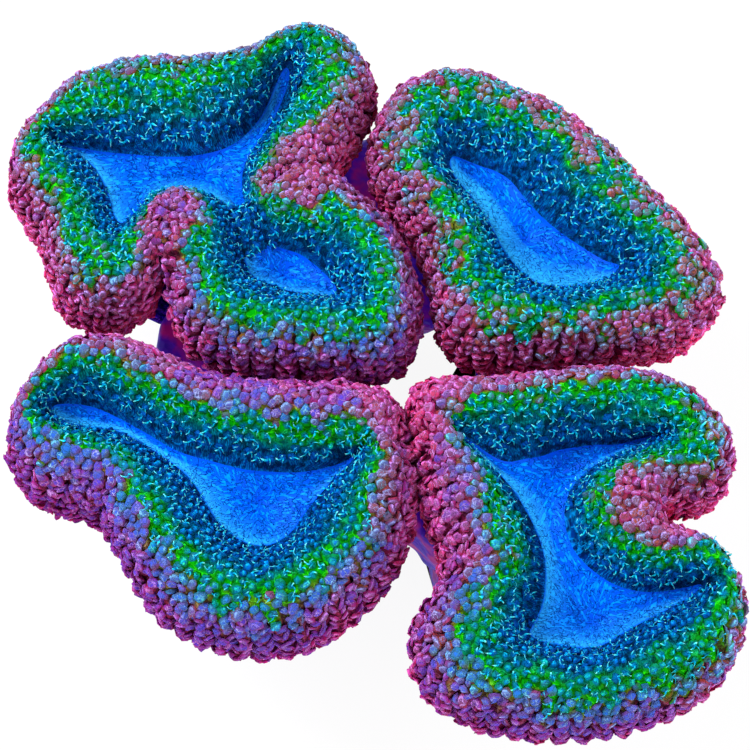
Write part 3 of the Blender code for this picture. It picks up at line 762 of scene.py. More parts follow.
@dataclass(frozen=True)
class PapillaFinish:
    """Papillae: a dark foot, partly painted shade in the crevices between them, a light edge and a
    duller crown, by rim row, with painted light and shade on their sides and painted glints.
    """

    name: str
    roughness: float = 0.45
    fuzz: float = 0.3
    fuzz_roughness: float = 0.35

    def build(self) -> bpy.types.Material:
        """Lay out the material.

        Returns:
            The finished material.
        """
        nodes = Nodes(self.name)
        place = nodes.place()
        band = nodes.band(place, scale=260.0)
        tip = nodes.attribute("tip")
        paint = {name: nodes.painted(band, stops, BAND_SPAN)
                 for name, stops in PAPILLA_PAINT.items()}
        # The dark foot is partly the papillae's own colour and partly painted shade in the
        # crevices between them
        rise = nodes.share(tip, (0.26, 0.0), (0.64, 1.0))
        top = nodes.share(tip, (0.82, 0.0), (0.90, 1.0))
        colour = nodes.mix(top, nodes.mix(rise, paint["foot"], paint["edge"]), paint["crown"])

        warm = nodes.attribute("warm")
        hot = nodes.product(paint["pink"], nodes.share(warm, (0.5, 0.0), (1.0, 0.9)))
        cold = nodes.product(paint["pink"], nodes.share(warm, (0.1, 0.95), (0.5, 0.0)))
        rusty = nodes.math("MAXIMUM", nodes.math("MAXIMUM", top, nodes.product(rise, 0.85)),
                           paint["low"])
        colour = nodes.mix(nodes.product(hot, rusty), colour, paint["rust"])
        colour = nodes.mix(nodes.product(cold, nodes.math("MAXIMUM", rise, 0.6)), colour,
                           paint["lilac"])

        # Painted light and shade: the side toward the upper left and back gets a lighter outline,
        # the other side a darker tint
        side = nodes.attribute("lit")
        bright_side = nodes.share(side, (0.52, 0.0), (0.76, 1.0))
        dark_side = nodes.share(side, (0.20, 1.0), (0.44, 0.0))
        outline = nodes.share(tip, (0.60, 0.0), (0.72, 1.0), (0.86, 1.0), (0.93, 0.1))
        lifted = nodes.product(bright_side, outline, 0.95, nodes.math("SUBTRACT", 1.0, cold))
        colour = nodes.mix(lifted, colour, paint["lit"])
        colour = nodes.mix(nodes.product(dark_side, 0.6), colour, paint["shade"])

        # Painted glints: light lines along the crumpled folds of the papillae's flanks
        crumple = nodes.folds(place, scale=1150.0, width=0.13, bend=0.0006)
        shine = nodes.product(crumple, rise, nodes.attribute("tone"))
        colour = nodes.mix(shine, colour, paint["glint"])
        colour = self.hooked(nodes, colour, paint["edge"], bright_side, dark_side)
        nodes.finish(colour, self.roughness, WET)
        nodes.feed(nodes.shader.inputs["Sheen Tint"], paint["glint"])
        nodes.feed(nodes.shader.inputs["Sheen Weight"], nodes.product(paint["pink"], self.fuzz))
        nodes.shader.inputs["Sheen Roughness"].default_value = self.fuzz_roughness
        grain = nodes.product(nodes.noise(place, scale=2200.0), 0.6)
        nodes.bump(nodes.math("ADD", crumple, grain), depth=0.00022)
        return nodes.material

    @staticmethod
    def hooked(nodes: Nodes, colour: Socket, edge: Socket,
               bright_side: Socket,
               dark_side: Socket) -> Socket:
        """Paint the hooks over the other papillae: bright prongs on a plain body.

        Args:
            nodes: The material's nodes.
            colour: The colour of the other papillae.
            edge: The paint of a papilla's edge.
            bright_side: How much a place is painted as the side that faces the daylight.
            dark_side: How much it is painted as the side that faces away.

        Returns:
            The colour of them all.
        """
        tip, hook = nodes.attribute("tip"), nodes.attribute("hooked")
        body = nodes.share(tip, (0.04, 0.0), (0.26, 1.0))
        colour = nodes.mix(nodes.product(hook, body), colour, edge)
        bright = nodes.painted(tip, HOOK_PAINT)
        # Painted light and shade on the bright prongs
        bright = nodes.mix(nodes.product(bright_side, 0.5), bright, linear(*HOOK_LIT))
        bright = nodes.mix(nodes.product(dark_side, 0.35), bright, linear(*HOOK_SHADE))
        prong = nodes.share(tip, (0.30, 0.0), (0.40, 1.0))
        return nodes.mix(nodes.product(hook, prong), colour, bright)


@dataclass(frozen=True)
class DiscFinish:
    """The oral disc: wrinkled azure membrane with a painted highlight along its near and left
    edge, darker round a mouth.
    """

    name: str
    roughness: float = 0.45

    def build(self) -> bpy.types.Material:
        """Lay out the material.

        Returns:
            The finished material.
        """
        nodes = Nodes(self.name)
        place = nodes.place()
        wrinkle = self.wrinkles(nodes, place)
        azure = nodes.painted(wrinkle, DISC_PAINT)
        breaks = nodes.share(nodes.noise(place, scale=500.0), (0.46, 0.0), (0.58, 1.0))
        strokes = nodes.ridges(nodes.noise(place, scale=640.0, detail=1.5), width=0.024)
        creases = nodes.math("MAXIMUM", nodes.ridges(wrinkle, width=0.02),
                             nodes.product(strokes, breaks))
        # Painted highlight along the near and left border of the disc
        colour = nodes.mix(nodes.product(nodes.attribute("edge"), 0.9), azure,
                           linear(*BORDER_HIGHLIGHT_PAINT))
        colour = nodes.mix(nodes.product(nodes.attribute("mouth"), 0.5), colour,
                           linear(*MOUTH_PAINT))
        colour = nodes.mix(nodes.product(creases, 0.7), colour, linear(*CREASE_PAINT))
        nodes.finish(colour, self.roughness, WET)
        nodes.bump(creases, depth=-0.0003)
        return nodes.material

    @staticmethod
    def wrinkles(nodes: Nodes, place: Socket) -> Socket:
        """Fine wrinkles that run the way the disc's lay attribute says.

        Args:
            nodes: The material's nodes.
            place: Coordinates to read, in metres.

        Returns:
            A height from 0 to 1.
        """
        lay = nodes.add("SeparateXYZ")
        nodes.feed(lay.inputs[0], nodes.attribute("lay", "Vector"))
        total: object = 0.0
        for index in range(3):
            turned = nodes.add("Mapping", vector_type="TEXTURE")
            turned.inputs["Rotation"].default_value = (0, 0, index * math.pi / 3)
            turned.inputs["Scale"].default_value = (0.0011, 0.0004, 0.0011)
            nodes.feed(turned.inputs["Vector"], place)
            strokes = nodes.noise(turned.outputs["Vector"], scale=1.0, detail=2.0)
            total = nodes.math("ADD", nodes.product(strokes, lay.outputs[index]), total)
        return total


@dataclass(frozen=True)
class StumpFinish:
    """The stump: indigo tissue over ribs that glows faintly as painted light, and a cream skeleton
    where it is cut.
    """

    name: str
    roughness: float = 0.6
    specular: float = 0.3
    # A faint glow of the tissue: painted light that brightens it in the shade under the lobes
    glow: float = 0.25

    def build(self) -> bpy.types.Material:
        """Lay out the material.

        Returns:
            The finished material.
        """
        nodes = Nodes(self.name)
        place = nodes.place()
        cut = nodes.attribute("cut")
        tissue = nodes.painted(nodes.noise(place, scale=160.0, detail=3.0), TISSUE_PAINT)
        pores = nodes.add("TexVoronoi")
        pores.inputs["Scale"].default_value = 700.0
        nodes.feed(pores.inputs["Vector"], place)
        skeleton = nodes.painted(pores.outputs["Distance"], SKELETON_PAINT)
        nodes.finish(nodes.mix(cut, tissue, skeleton), self.roughness, self.specular)
        # Painted light: the tissue glows faintly
        nodes.feed(nodes.shader.inputs["Emission Color"], tissue)
        nodes.feed(nodes.shader.inputs["Emission Strength"],
                   nodes.product(nodes.math("SUBTRACT", 1.0, cut), self.glow))
        nodes.bump(pores.outputs["Distance"], depth=0.0004, strength=0.6)
        return nodes.material


# --------------------------------------------------------------------------- shape helpers


def smooth_closed_curve(points: Array, steps: int = 12) -> Array:
    """Points of a closed Catmull-Rom curve.

    Args:
        points: Rows of numbers that the curve passes through.
        steps: New points between two given ones.

    Returns:
        The rows of the finer curve.
    """
    before, after = np.roll(points, 1, axis=0), np.roll(points, -1, axis=0)
    beyond = np.roll(points, -2, axis=0)
    pieces = []
    for step in range(steps):
        t = step / steps
        pieces.append(0.5 * (2 * points + (after - before) * t
                             + (2 * before - 5 * points + 4 * after - beyond) * t ** 2
                             + (3 * points - before - 3 * after + beyond) * t ** 3))
    return np.stack(pieces, axis=1).reshape(-1, points.shape[1])


def spaced_evenly(curve: Array, paths: tuple, spacing: float) -> Array:
    """Resample a closed curve so that the longest of its paths has even steps.

    Args:
        curve: Rows of the curve.
        paths: Pairs of columns that hold the x and y of each path.
        spacing: Step between two points.

    Returns:
        The evenly spaced rows.
    """
    steps = np.max([np.hypot(*(np.roll(curve[:, path], -1, axis=0) - curve[:, path]).T)
                    for path in paths], axis=0)
    along = np.concatenate([[0.0], np.cumsum(steps)])
    count = 2 * round(along[-1] / spacing / 2)
    closed = np.vstack([curve, curve[:1]])
    places = np.arange(count) * along[-1] / count
    return np.stack([np.interp(places, along, column) for column in closed.T], axis=1)


def relaxed(ring: Array, passes: int) -> Array:
    """Round a closed ring off by moving each point halfway to its neighbours."""
    for _ in range(passes):
        ring = 0.5 * ring + 0.25 * (np.roll(ring, 1, axis=0) + np.roll(ring, -1, axis=0))
    return ring


def inside_outline(points: Array, outline: Array) -> Array:
    """Which points lie inside a closed outline.

    Args:
        points: Flat points.
        outline: Corners of the outline.

    Returns:
        True for each point inside.
    """
    x, y = points[:, :1], points[:, 1:2]
    after = np.roll(outline, -1, axis=0)
    spans = (outline[:, 1] > y) != (after[:, 1] > y)
    rise = np.where(spans, after[:, 1] - outline[:, 1], 1.0)
    crossing = outline[:, 0] + (y - outline[:, 1]) * (after[:, 0] - outline[:, 0]) / rise
    return np.count_nonzero(spans & (crossing > x), axis=1) % 2 == 1


def at_height(plan: Array, height: object) -> Array:
    """Stand flat points at one height, or each at its own."""
    return np.column_stack([plan, np.broadcast_to(height, len(plan))])


def lumps(points: Array, size: float, shift: float = 0.0) -> Array:
    """Smooth noise at points.

    Args:
        points: Places in millimetres.
        size: Size of a lump.
        shift: How many lumps the noise is moved along x.

    Returns:
        A number from -1 to 1 for each.
    """
    away = Vector((shift, 0, 0))
    return np.array([noise.noise(Vector(point) / size + away) for point in points.tolist()])


def tree_of(points: list) -> KDTree:
    """A tree that finds the numbers of close points."""
    tree = KDTree(len(points))
    for index, point in enumerate(points):
        tree.insert(point, index)
    tree.balance()
    return tree


def nearest_of(tree: KDTree, points: Array) -> Array:
    """The number of the closest point in a tree, for each point."""
    return np.array([tree.find(point)[1] for point in points.tolist()])


def vertex_places(mesh: bpy.types.Mesh) -> Array:
    """Vertex places in millimetres."""
    flat = np.empty(len(mesh.vertices) * 3)
    mesh.vertices.foreach_get("co", flat)
    return flat.reshape(-1, 3) / MM


def set_vertex_places(mesh: bpy.types.Mesh, places: Array) -> None:
    """Move the vertices to places in millimetres."""
    mesh.vertices.foreach_set("co", (places * MM).ravel())
    mesh.update()


def vertex_normals(mesh: bpy.types.Mesh) -> Array:
    """Vertex normals."""
    flat = np.empty(len(mesh.vertices) * 3, np.float32)
    mesh.vertex_normals.foreach_get("vector", flat)
    return flat.reshape(-1, 3).astype(float)


def give(mesh: bpy.types.Mesh, name: str, values: Array) -> None:
    """Store a number or a vector on every vertex, over what it held before.

    Args:
        mesh: The mesh.
        name: Name of the attribute.
        values: One row for each vertex.
    """
    kind, key = ("FLOAT", "value") if values.ndim == 1 else ("FLOAT_VECTOR", "vector")
    layer = mesh.attributes.get(name)
    if layer is None:
        layer = mesh.attributes.new(name, kind, "POINT")
    layer.data.foreach_set(key, values.astype(np.float32).ravel())


def read(mesh: bpy.types.Mesh, name: str) -> Array:
    """Read the number or the vector that every vertex holds."""
    layer = mesh.attributes[name]
    if layer.data_type == "FLOAT":
        values = np.empty(len(layer.data), np.float32)
        layer.data.foreach_get("value", values)
        return values.astype(float)
    values = np.empty(len(layer.data) * 3, np.float32)
    layer.data.foreach_get("vector", values)
    return values.reshape(-1, 3).astype(float)


def nothing_selected() -> None:
    """Leave edit mode and deselect every object."""
    if bpy.context.object and bpy.context.object.mode != "OBJECT":
        bpy.ops.object.mode_set(mode="OBJECT")
    bpy.ops.object.select_all(action="DESELECT")


def select_alone(item: bpy.types.Object) -> None:
    """Select one object and nothing else."""
    nothing_selected()
    item.select_set(True)
    bpy.context.view_layer.objects.active = item


def place_selected(skin: bpy.types.Object, ring: Array) -> None:
    """Put the selected ring of vertices, known by their column, at new places.

    Args:
        skin: Object in edit mode.
        ring: Place of each column, in millimetres.
    """
    mesh = bmesh.from_edit_mesh(skin.data)
    column = mesh.verts.layers.int["column"]
    for vertex in mesh.verts:
        if vertex.select:
            vertex.co = Vector(ring[vertex[column]]) * MM
    bmesh.update_edit_mesh(skin.data)


def lofted(name: str, rings: list[Array]) -> bpy.types.Object:
    """Model a skin by extruding a circle from ring to ring and closing the last one.

    Args:
        name: Name of the new object.
        rings: Places of each ring, in millimetres.

    Returns:
        The object, open at its first ring.
    """
    nothing_selected()
    bpy.ops.mesh.primitive_circle_add(vertices=len(rings[0]), radius=START_RADIUS * MM,
                                      fill_type="NOTHING")
    skin = bpy.context.object
    skin.name = name
    skin.data.name = name
    column = skin.data.attributes.new("column", "INT", "POINT")
    column.data.foreach_set("value", np.arange(len(rings[0]), dtype=np.int32))
    bpy.ops.object.mode_set(mode="EDIT")
    bpy.ops.mesh.select_all(action="SELECT")
    place_selected(skin, rings[0])
    for ring in rings[1:]:
        bpy.ops.mesh.extrude_edges_move()
        place_selected(skin, ring)
    bpy.ops.mesh.edge_face_add()
    bpy.ops.mesh.select_all(action="SELECT")
    bpy.ops.mesh.normals_make_consistent(inside=False)
    bpy.ops.object.mode_set(mode="OBJECT")
    set_in_order(skin.data, len(rings[0]))
    return skin


def in_order(faces: list[list[int]]) -> list[list[int]]:
    """Start each face at its lowest corner and sort the faces, so that no run differs."""
    turned = []
    for corners in faces:
        first = corners.index(min(corners))
        turned.append(corners[first:] + corners[:first])
    return sorted(turned)


def set_in_order(mesh: bpy.types.Mesh, size: int) -> None:
    """Number a loft's corners ring by ring and then its faces, the same way on every run.

    Args:
        mesh: The loft, whose corners know their column.
        size: Corners of one ring.
    """
    column = np.empty(len(mesh.vertices), np.int32)
    mesh.attributes["column"].data.foreach_get("value", column)
    number = np.arange(len(column)) // size * size + column
    places = np.empty((len(column), 3))
    places[number] = [vertex.co for vertex in mesh.vertices]
    cage = bmesh.new()
    verts = [cage.verts.new(place) for place in places]
    for face in in_order([number[list(face.vertices)].tolist() for face in mesh.polygons]):
        cage.faces.new([verts[corner] for corner in face])
    cage.to_mesh(mesh)
    cage.free()


def subdivided(skin: bpy.types.Object, levels: int) -> None:
    """Apply a Subdivision Surface to an object."""
    select_alone(skin)
    smooth = skin.modifiers.new("Subdivision", "SUBSURF")
    smooth.levels = levels
    smooth.render_levels = levels
    bpy.ops.object.modifier_apply(modifier=smooth.name)


def creased(skin: bpy.types.Object, low: float, high: float) -> None:
    """Keep the edges whose ends lie between two heights sharp under subdivision."""
    crease = skin.data.attributes.new("crease_edge", "FLOAT", "EDGE")
    for edge in skin.data.edges:
        ends = [skin.data.vertices[index].co.z for index in edge.vertices]
        crease.data[edge.index].value = 1.0 if all(low - 1e-6 <= z <= high for z in ends) else 0.0


def ordered_boundary(mesh: bmesh.types.BMesh) -> list:
    """Vertices of the mesh's one open edge, in order."""
    edges = [edge for edge in mesh.edges if edge.is_boundary]
    after: dict = {}
    for edge in edges:
        first, second = edge.verts
        after.setdefault(first, []).append(second)
        after.setdefault(second, []).append(first)
    start = edges[0].verts[0]
    loop, previous, current = [start], start, after[start][0]
    while current is not start:
        loop.append(current)
        ahead = [vertex for vertex in after[current] if vertex is not previous]
        previous, current = current, ahead[0]
    return loop


def thinned(points: Array, spacing: Array) -> list[int]:
    """Keep points that are no closer to the ones kept before than their spacing.

    Args:
        points: Candidate points, in random order.
        spacing: Least distance that each point keeps.

    Returns:
        Indices of the kept points.
    """
    cell = float(spacing.max())
    keys = np.floor(points / cell).astype(int).tolist()
    near = [(x, y, z) for x in (-1, 0, 1) for y in (-1, 0, 1) for z in (-1, 0, 1)]
    grid: dict[tuple[int, int, int], list[tuple[float, float, float, float]]] = {}
    kept = []
    for index, ((x, y, z), (i, j, k), least) in enumerate(
            zip(points.tolist(), keys, spacing.tolist())):
        free = True
        for a, b, c in near:
            for px, py, pz, other in grid.get((i + a, j + b, k + c), ()):
                limit = 0.5 * (least + other)
                if (px - x) ** 2 + (py - y) ** 2 + (pz - z) ** 2 < limit * limit:
                    free = False
                    break
            if not free:
                break
        if free:
            kept.append(index)
            grid.setdefault((i, j, k), []).append((x, y, z, least))
    return kept


# ------------------------------------------------------------------------------- papillae


@dataclass
class PapillaShape:
    """One papilla, modelled once: base at the origin, tip up +Z, of unit radius."""

    kind: Papilla
    corners: int
    prongs: tuple = ()
    rows: int = PAPILLA_ROWS

    def build(self) -> tuple[Array, list[list[int]], Array]:
        """Model the papilla from a sphere and read it back.

        Returns:
            Its points, the corners of its faces, and how near the tip each point is.
        """
        nothing_selected()
        bpy.ops.mesh.primitive_uv_sphere_add(segments=self.corners, ring_count=self.rows,
                                             radius=1.0)
        seed = bpy.context.object
        ball = np.array([vertex.co for vertex in seed.data.vertices])
        faces = in_order([list(face.vertices) for face in seed.data.polygons])
        bpy.data.objects.remove(seed, do_unlink=True)
        if self.kind is not Papilla.HOOK:
            places = self.knob(ball, PEAK_WIDTHS if self.kind is Papilla.PEAK else KNOB_WIDTHS)
            return places, faces, np.clip(places[:, 2] / places[:, 2].max(), 0, 1)
        parts = [self.knob(ball, PEAK_WIDTHS) * HOOK_BODY]
        parts += [self.prong(ball, math.radians(turn), length) for turn, length in self.prongs]
        own = [[index + len(ball) * number for index in face]
               for number in range(len(parts)) for face in faces]
        share = (ball[:, 2] + 1) / 2
        tips = [0.3 * share] + [0.35 + 0.65 * share] * len(self.prongs)
        return np.concatenate(parts), own, np.concatenate(tips)

    @staticmethod
    def knob(ball: Array, widths: tuple) -> Array:
        """Draw a unit ball out into a pebble or a peak that widens to its foot."""
        x, y, z = ball.T
        level = np.interp(z, KNOB_HEIGHTS, KNOB_LEVELS)
        width = np.interp(z, KNOB_HEIGHTS, widths)
        flat = np.maximum(np.hypot(x, y), 1e-6)
        return np.column_stack([x / flat * width * (flat > 0.01),
                                y / flat * width * (flat > 0.01), level])

    @staticmethod
    def prong(ball: Array, turn: float, length: float) -> Array:
        """Draw a unit ball out into one bent prong of a hook."""
        x, y, z = ball.T
        height = (z + 1) / 2
        width = 0.20 - 0.13 * height
        reach = length * (1.35 * height ** 1.2) + x * width - 0.15
        rise = 0.25 + length * (1.1 * height - 0.45 * height ** 3) + 0.3 * x * width
        side = y * width + 0.30 * length * np.sin(3.4 * height)
        return np.column_stack([reach * math.cos(turn) - side * math.sin(turn),
                                reach * math.sin(turn) + side * math.cos(turn), rise])


def copies(name: str, shapes: list, material: bpy.types.Material,
           seed: int) -> bpy.types.Object:
    """Join copies of papillae, each a little uneven, into one mesh.

    Args:
        name: Name of the new object.
        shapes: For each kind: its points, faces and tips, and the table of its copies.
        material: Its material.
        seed: Number that the unevenness follows from.

    Returns:
        The object that holds all the copies.
    """
    points, loops, starts, tip, lit = [], [], [], [], []
    marks: dict[str, list] = {"band": [], "tone": [], "warm": [], "hooked": []}
    offset = start = 0
    for (places, faces, height), seeds in shapes:
        count, size = len(seeds["place"]), len(places)
        stray = UNEVEN_HOOK if np.any(seeds["hooked"]) else UNEVEN
        bumps = np.random.default_rng((seed, size)).normal(0, stray, (UNEVEN_FORMS, size, 3))
        rough = places[None] + bumps[seeds["ident"] % UNEVEN_FORMS]
        # Painted light: how much each point faces the upper left and back, which the finish paints
        # lighter or darker
        slant = np.einsum("nkc,c->nk", seeds["axes"][:, :2], SKY_SIDE)
        slant /= np.linalg.norm(seeds["axes"][:, :2], axis=2)
        strength = LIT_UPRIGHT + LIT_SLANTED * np.linalg.norm(slant, axis=1)
        slant *= (strength / np.linalg.norm(slant, axis=1))[:, None]
        facing = np.einsum("nvk,nk->nv", rough[:, :, :2], slant)
        lit.append(0.5 + 0.5 * np.clip(facing, -1, 1).ravel())
        moved = seeds["place"][:, None] + np.einsum("nvk,nkc->nvc", rough, seeds["axes"])
        points.append(moved.reshape(-1, 3))
        tip.append(np.tile(height, count))
        for key, values in marks.items():
            values.append(np.repeat(seeds[key], size))
        corners = np.concatenate([np.array(face) for face in faces])
        lengths = np.array([len(face) for face in faces])
        shift = offset + np.arange(count) * size
        loops.append((corners[None] + shift[:, None]).ravel())
        begin = np.concatenate([[0], np.cumsum(lengths)[:-1]])
        starts.append((begin[None] + start + (np.arange(count) * len(corners))[:, None]).ravel())
        offset += count * size
        start += count * len(corners)
    mesh = bpy.data.meshes.new(name)
    mesh.vertices.add(offset)
    mesh.vertices.foreach_set("co", (np.concatenate(points) * MM).ravel())
    mesh.loops.add(start)
    mesh.loops.foreach_set("vertex_index", np.concatenate(loops).astype(np.int32))
    first = np.concatenate(starts).astype(np.int32)
    mesh.polygons.add(len(first))
    mesh.polygons.foreach_set("loop_start", first)
    mesh.update(calc_edges=True)
    mesh.validate()
    mesh.shade_smooth()
    give(mesh, "tip", np.concatenate(tip))
    give(mesh, "lit", np.concatenate(lit))
    for key, values in marks.items():
        give(mesh, key, np.concatenate(values) / (BAND_SPAN if key == "band" else 1))
    mesh.materials.append(material)
    item = bpy.data.objects.new(name, mesh)
    bpy.context.scene.collection.objects.link(item)
    select_alone(item)
    bpy.ops.object.shade_smooth_by_angle(angle=math.radians(SHARP_PAPILLA))
    return item


class Dice:
    """Random numbers tied to numbered things, so that one thing more shifts no other's."""

    def __init__(self, seed: int, idents: Array) -> None:
        """Take up the things to throw for.

        Args:
            seed: Number that the throws follow from.
            idents: The number of each thing.
        """
        self.seed = seed
        self.idents = idents
        self.throws = 0

    def fresh(self) -> np.random.Generator:
        """The source of the next throw."""
        self.throws += 1
        return np.random.default_rng((self.seed, self.throws))

    def random(self) -> Array:
        """A number from 0 to 1 for each thing."""
        return self.uniform(0.0, 1.0)

    def uniform(self, low: float, high: float) -> Array:
        """A number between two bounds for each thing."""
        return self.fresh().uniform(low, high, DICE_POOL)[self.idents % DICE_POOL]

    def normal(self, middle: float, spread: float, *shape: int) -> Array:
        """A normally spread number, or an array of them, for each thing."""
        return self.fresh().normal(middle, spread, (DICE_POOL, *shape))[self.idents % DICE_POOL]


def scattered(mesh: bpy.types.Mesh, places: Array, density: Array,
              seed: int) -> tuple[Array, Array]:
    """Random points on a mesh, more of them where the density is higher.

    Args:
        mesh: A mesh of triangles and quads.
        places: Its vertex places in millimetres.
        density: Points per square millimetre at each vertex.
        seed: Number that the places follow from.

    Returns:
        The points in random order, and a number for each that is its own.
    """
    mesh.calc_loop_triangles()
    flat = np.empty(len(mesh.loop_triangles) * 3, np.int32)
    mesh.loop_triangles.foreach_get("vertices", flat)
    corners = flat.reshape(-1, 3)
    a, b, c = (places[corners[:, index]] for index in range(3))
    share = np.linalg.norm(np.cross(b - a, c - a), axis=1) / 2 * density[corners].mean(axis=1)
    faces = np.arange(len(corners))
    held = np.floor(share + Dice(seed, faces).random()).astype(int)
    picks = np.repeat(faces, held)
    turn = np.arange(len(picks)) - np.repeat(np.cumsum(held) - held, held)
    idents = picks * FACE_PLACES + np.minimum(turn, FACE_PLACES - 1)
    dice = Dice(seed + SEED_STEP, idents)
    u, v = dice.random()[:, None], dice.random()[:, None]
    folded = u + v > 1
    u, v = np.where(folded, 1 - u, u), np.where(folded, 1 - v, v)
    points = np.round(a[picks] + u * (b - a)[picks] + v * (c - a)[picks], 3)
    order = np.argsort(dice.random(), kind="stable")
    return points[order], idents[order]


def settled(points: Array, spacing: Array, surface: BVHTree, passes: int) -> Array:
    """Even the gaps between points on a surface by pushing close neighbours apart.

    Args:
        points: Points on the surface.
        spacing: Distance that each point would like to keep.
        surface: The surface.
        passes: How often to push.

    Returns:
        The moved points, on the surface again.
    """
    for _ in range(passes):
        tree = tree_of(points.tolist())
        moved = np.zeros_like(points)
        for index, point in enumerate(points.tolist()):
            reach = PUSH_REACH * spacing[index]
            push = Vector((0, 0, 0))
            for other, _, gap in tree.find_range(point, reach):
                if gap > 1e-6:
                    push += (Vector(point) - other) * ((reach - gap) / gap)
            moved[index] = push
        points = points + PUSH_STEP * moved
        points = np.array([surface.find_nearest(point)[0] for point in points.tolist()])
    return points



# ----------------------------------------------------------------------------------- lobes


@dataclass
class PolypLobe:
    """One winding polyp: a puffed rim round a sunken oral disc, on a stalk.

    Its disc slopes by tilt away from the line y = tilt_y, its foot is a circle of x, y and
    radius, and its grain, mottle and border reach say how coarse its papillae are, how far
    their colours stray and how wide the painted highlight along the disc's border is.
    """

    key: str
    stations: tuple[STATION, ...]
    skin_marks: tuple
    tilt: float
    tilt_y: float
    foot: tuple[float, float, float]
    mouths: tuple
    grain: float
    mottle: float
    highlight_reach: float
    seed: int
    sills: tuple[Sill, ...] = ()
    folds: tuple[Fold, ...] = ()
    pieces: list[bpy.types.Object] = field(default_factory=list)

    def build(self) -> None:
        """Model the flesh with its disc, and the papillae on it."""
        flesh = self.flesh(self.columns(CAGE_SPACING))
        self.pieces.append(flesh)
        self.pieces.extend(self.papillae(flesh))

    def dress(self) -> None:
        """Tie every piece to the model."""
        for piece in self.pieces:
            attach(piece, BODY)
            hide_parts("lobe_" + self.key)

    def columns(self, spacing: float) -> Array:
        """The stations as evenly spaced columns.

        Args:
            spacing: Step between two columns.

        Returns:
            Rows of disc x, disc y, outer x, outer y and lift.
        """
        curve = smooth_closed_curve(np.array(self.stations))
        return spaced_evenly(curve, ([0, 1], [2, 3]), spacing)

    def marked(self, places: Array) -> Array:
        """What the skin marks say at each place, the closest ones counting most."""
        marks = np.array(self.skin_marks)
        off = np.hypot(places[:, :1] - marks[:, 0], places[:, 1:2] - marks[:, 1])
        weight = 1 / (off ** 4 + 1)
        weight /= weight.sum(axis=1, keepdims=True)
        return weight @ marks[:, 2:]

    def band(self, row: Array, places: Array) -> Array:
        """Rim rows as the colours follow them.

        Each skin mark tells at which row the green starts and ends, and where the pink
        starts, near its place; the rows between marks follow the nearest ones.

        Args:
            row: Rim rows.
            places: The places, in millimetres.

        Returns:
            The rows of the colour bands.
        """
        green, mixed, pink = self.marked(places)[:, :3].T
        wall = row / green * GREEN_ROW
        crest = GREEN_ROW + (row - green) / (mixed - green) * (MIXED_ROW - GREEN_ROW)
        border = MIXED_ROW + (row - mixed) / (pink - mixed) * (PINK_ROW - MIXED_ROW)
        side = PINK_ROW + (row - pink) / (STALK_ROW - pink) * (STALK_ROW - PINK_ROW)
        band = np.select([row < green, row < mixed, row < pink, row < STALK_ROW],
                         [wall, crest, border, side], row)
        heap = self.on_mound(places)
        band = band * (1 - heap) + np.minimum(band, MOUND_ROW) * heap
        patch = lumps(places, PATCH_SIZE)
        stray = PATCH_STRAY * self.mottle * patch * np.interp(band, *PATCH_ROWS)
        return np.clip(band + stray, 0, BAND_SPAN)

    def on_mound(self, places: Array) -> Array:
        """How much each place lies on top of a mound over a closed fold."""
        share = np.zeros(len(places))
        for fold in self.folds:
            run, gap = fold.gaps(places[:, :2])
            close = np.exp(-(np.linalg.norm(gap, axis=1) / (MOUND_REACH * fold.reach)) ** 4)
            share = np.maximum(share, close * (1 - MOUND_FADE * run ** 4))
        return share * np.interp(places[:, 2] - DISC_LEVEL, *MOUND_HEIGHTS)

    def disc_level(self, plan: Array) -> Array:
        """Levels of the tilted disc plane at flat points."""
        return DISC_LEVEL + self.tilt * (plan[:, 1] - self.tilt_y)

    def on_lobe(self, plan: Array, height: Array) -> Array:
        """Stand flat points at the given heights over the tilted disc plane."""
        return at_height(plan, self.disc_level(plan) + height)

    def rings(self, columns: Array) -> list[Array]:
        """Rings of points from the disc edge over the rim and down the stalk.

        Args:
            columns: The lobe's columns.

        Returns:
            The rings, in millimetres.
        """
        disc, outer, lift = columns[:, :2], columns[:, 2:4], columns[:, 4]
        width = np.linalg.norm(outer - disc, axis=1)
        crest = np.minimum(CREST_MAX, CREST_BASE + CREST_PER_WIDTH * width)
        full, outer = self.closed_folds(outer)
        rings = [self.on_lobe(disc, lift)]
        for (share, height), swollen in zip(RIM_PROFILE, MOUND_PROFILE):
            raised = height + full * (swollen - height)
            own = raised * crest / CREST_MAX + np.maximum(lift, 0) * (1 - share) ** 2
            own = np.where(raised > 0, own, raised)
            rings.append(self.on_lobe(disc + share * (outer - disc), own))
        top = relaxed(disc + STALK_TOP_SHARE * (outer - disc), STALK_TOP_PASSES)
        foot_x, foot_y, radius = self.foot
        bottom = relaxed(top, FOOT_PASSES)
        centre = bottom.mean(axis=0)
        size = np.linalg.norm(bottom - centre, axis=1).mean()
        bottom = (bottom - centre) * radius / size + (foot_x, foot_y)
        middle = STALK_MIX[0] * relaxed(top, STALK_MIDDLE_PASSES) + STALK_MIX[1] * bottom
        return [*rings, at_height(top, STALK_TOP_LEVEL), at_height(middle, STALK_MIDDLE_LEVEL),
                at_height(bottom, FOOT_SUNK_LEVEL)]

    def closed_folds(self, outer: Array) -> tuple[Array, Array]:
        """Close the rim up where it folds back on itself.

        Args:
            outer: Flat outer edge of the rim.

        Returns:
            How far each column swells into a mound, and the outer edge drawn into the fold.
        """
        full = np.zeros(len(outer))
        drawn = outer.copy()
        for fold in self.folds:
            run, gap = fold.gaps(outer)
            share = np.exp(-(np.linalg.norm(gap, axis=1) / fold.reach) ** 4)
            share *= np.interp(run, FOLD_RUN, FOLD_FULL)
            drawn += (fold.draw * share)[:, None] * gap
            full = np.maximum(full, share)
        return full, drawn

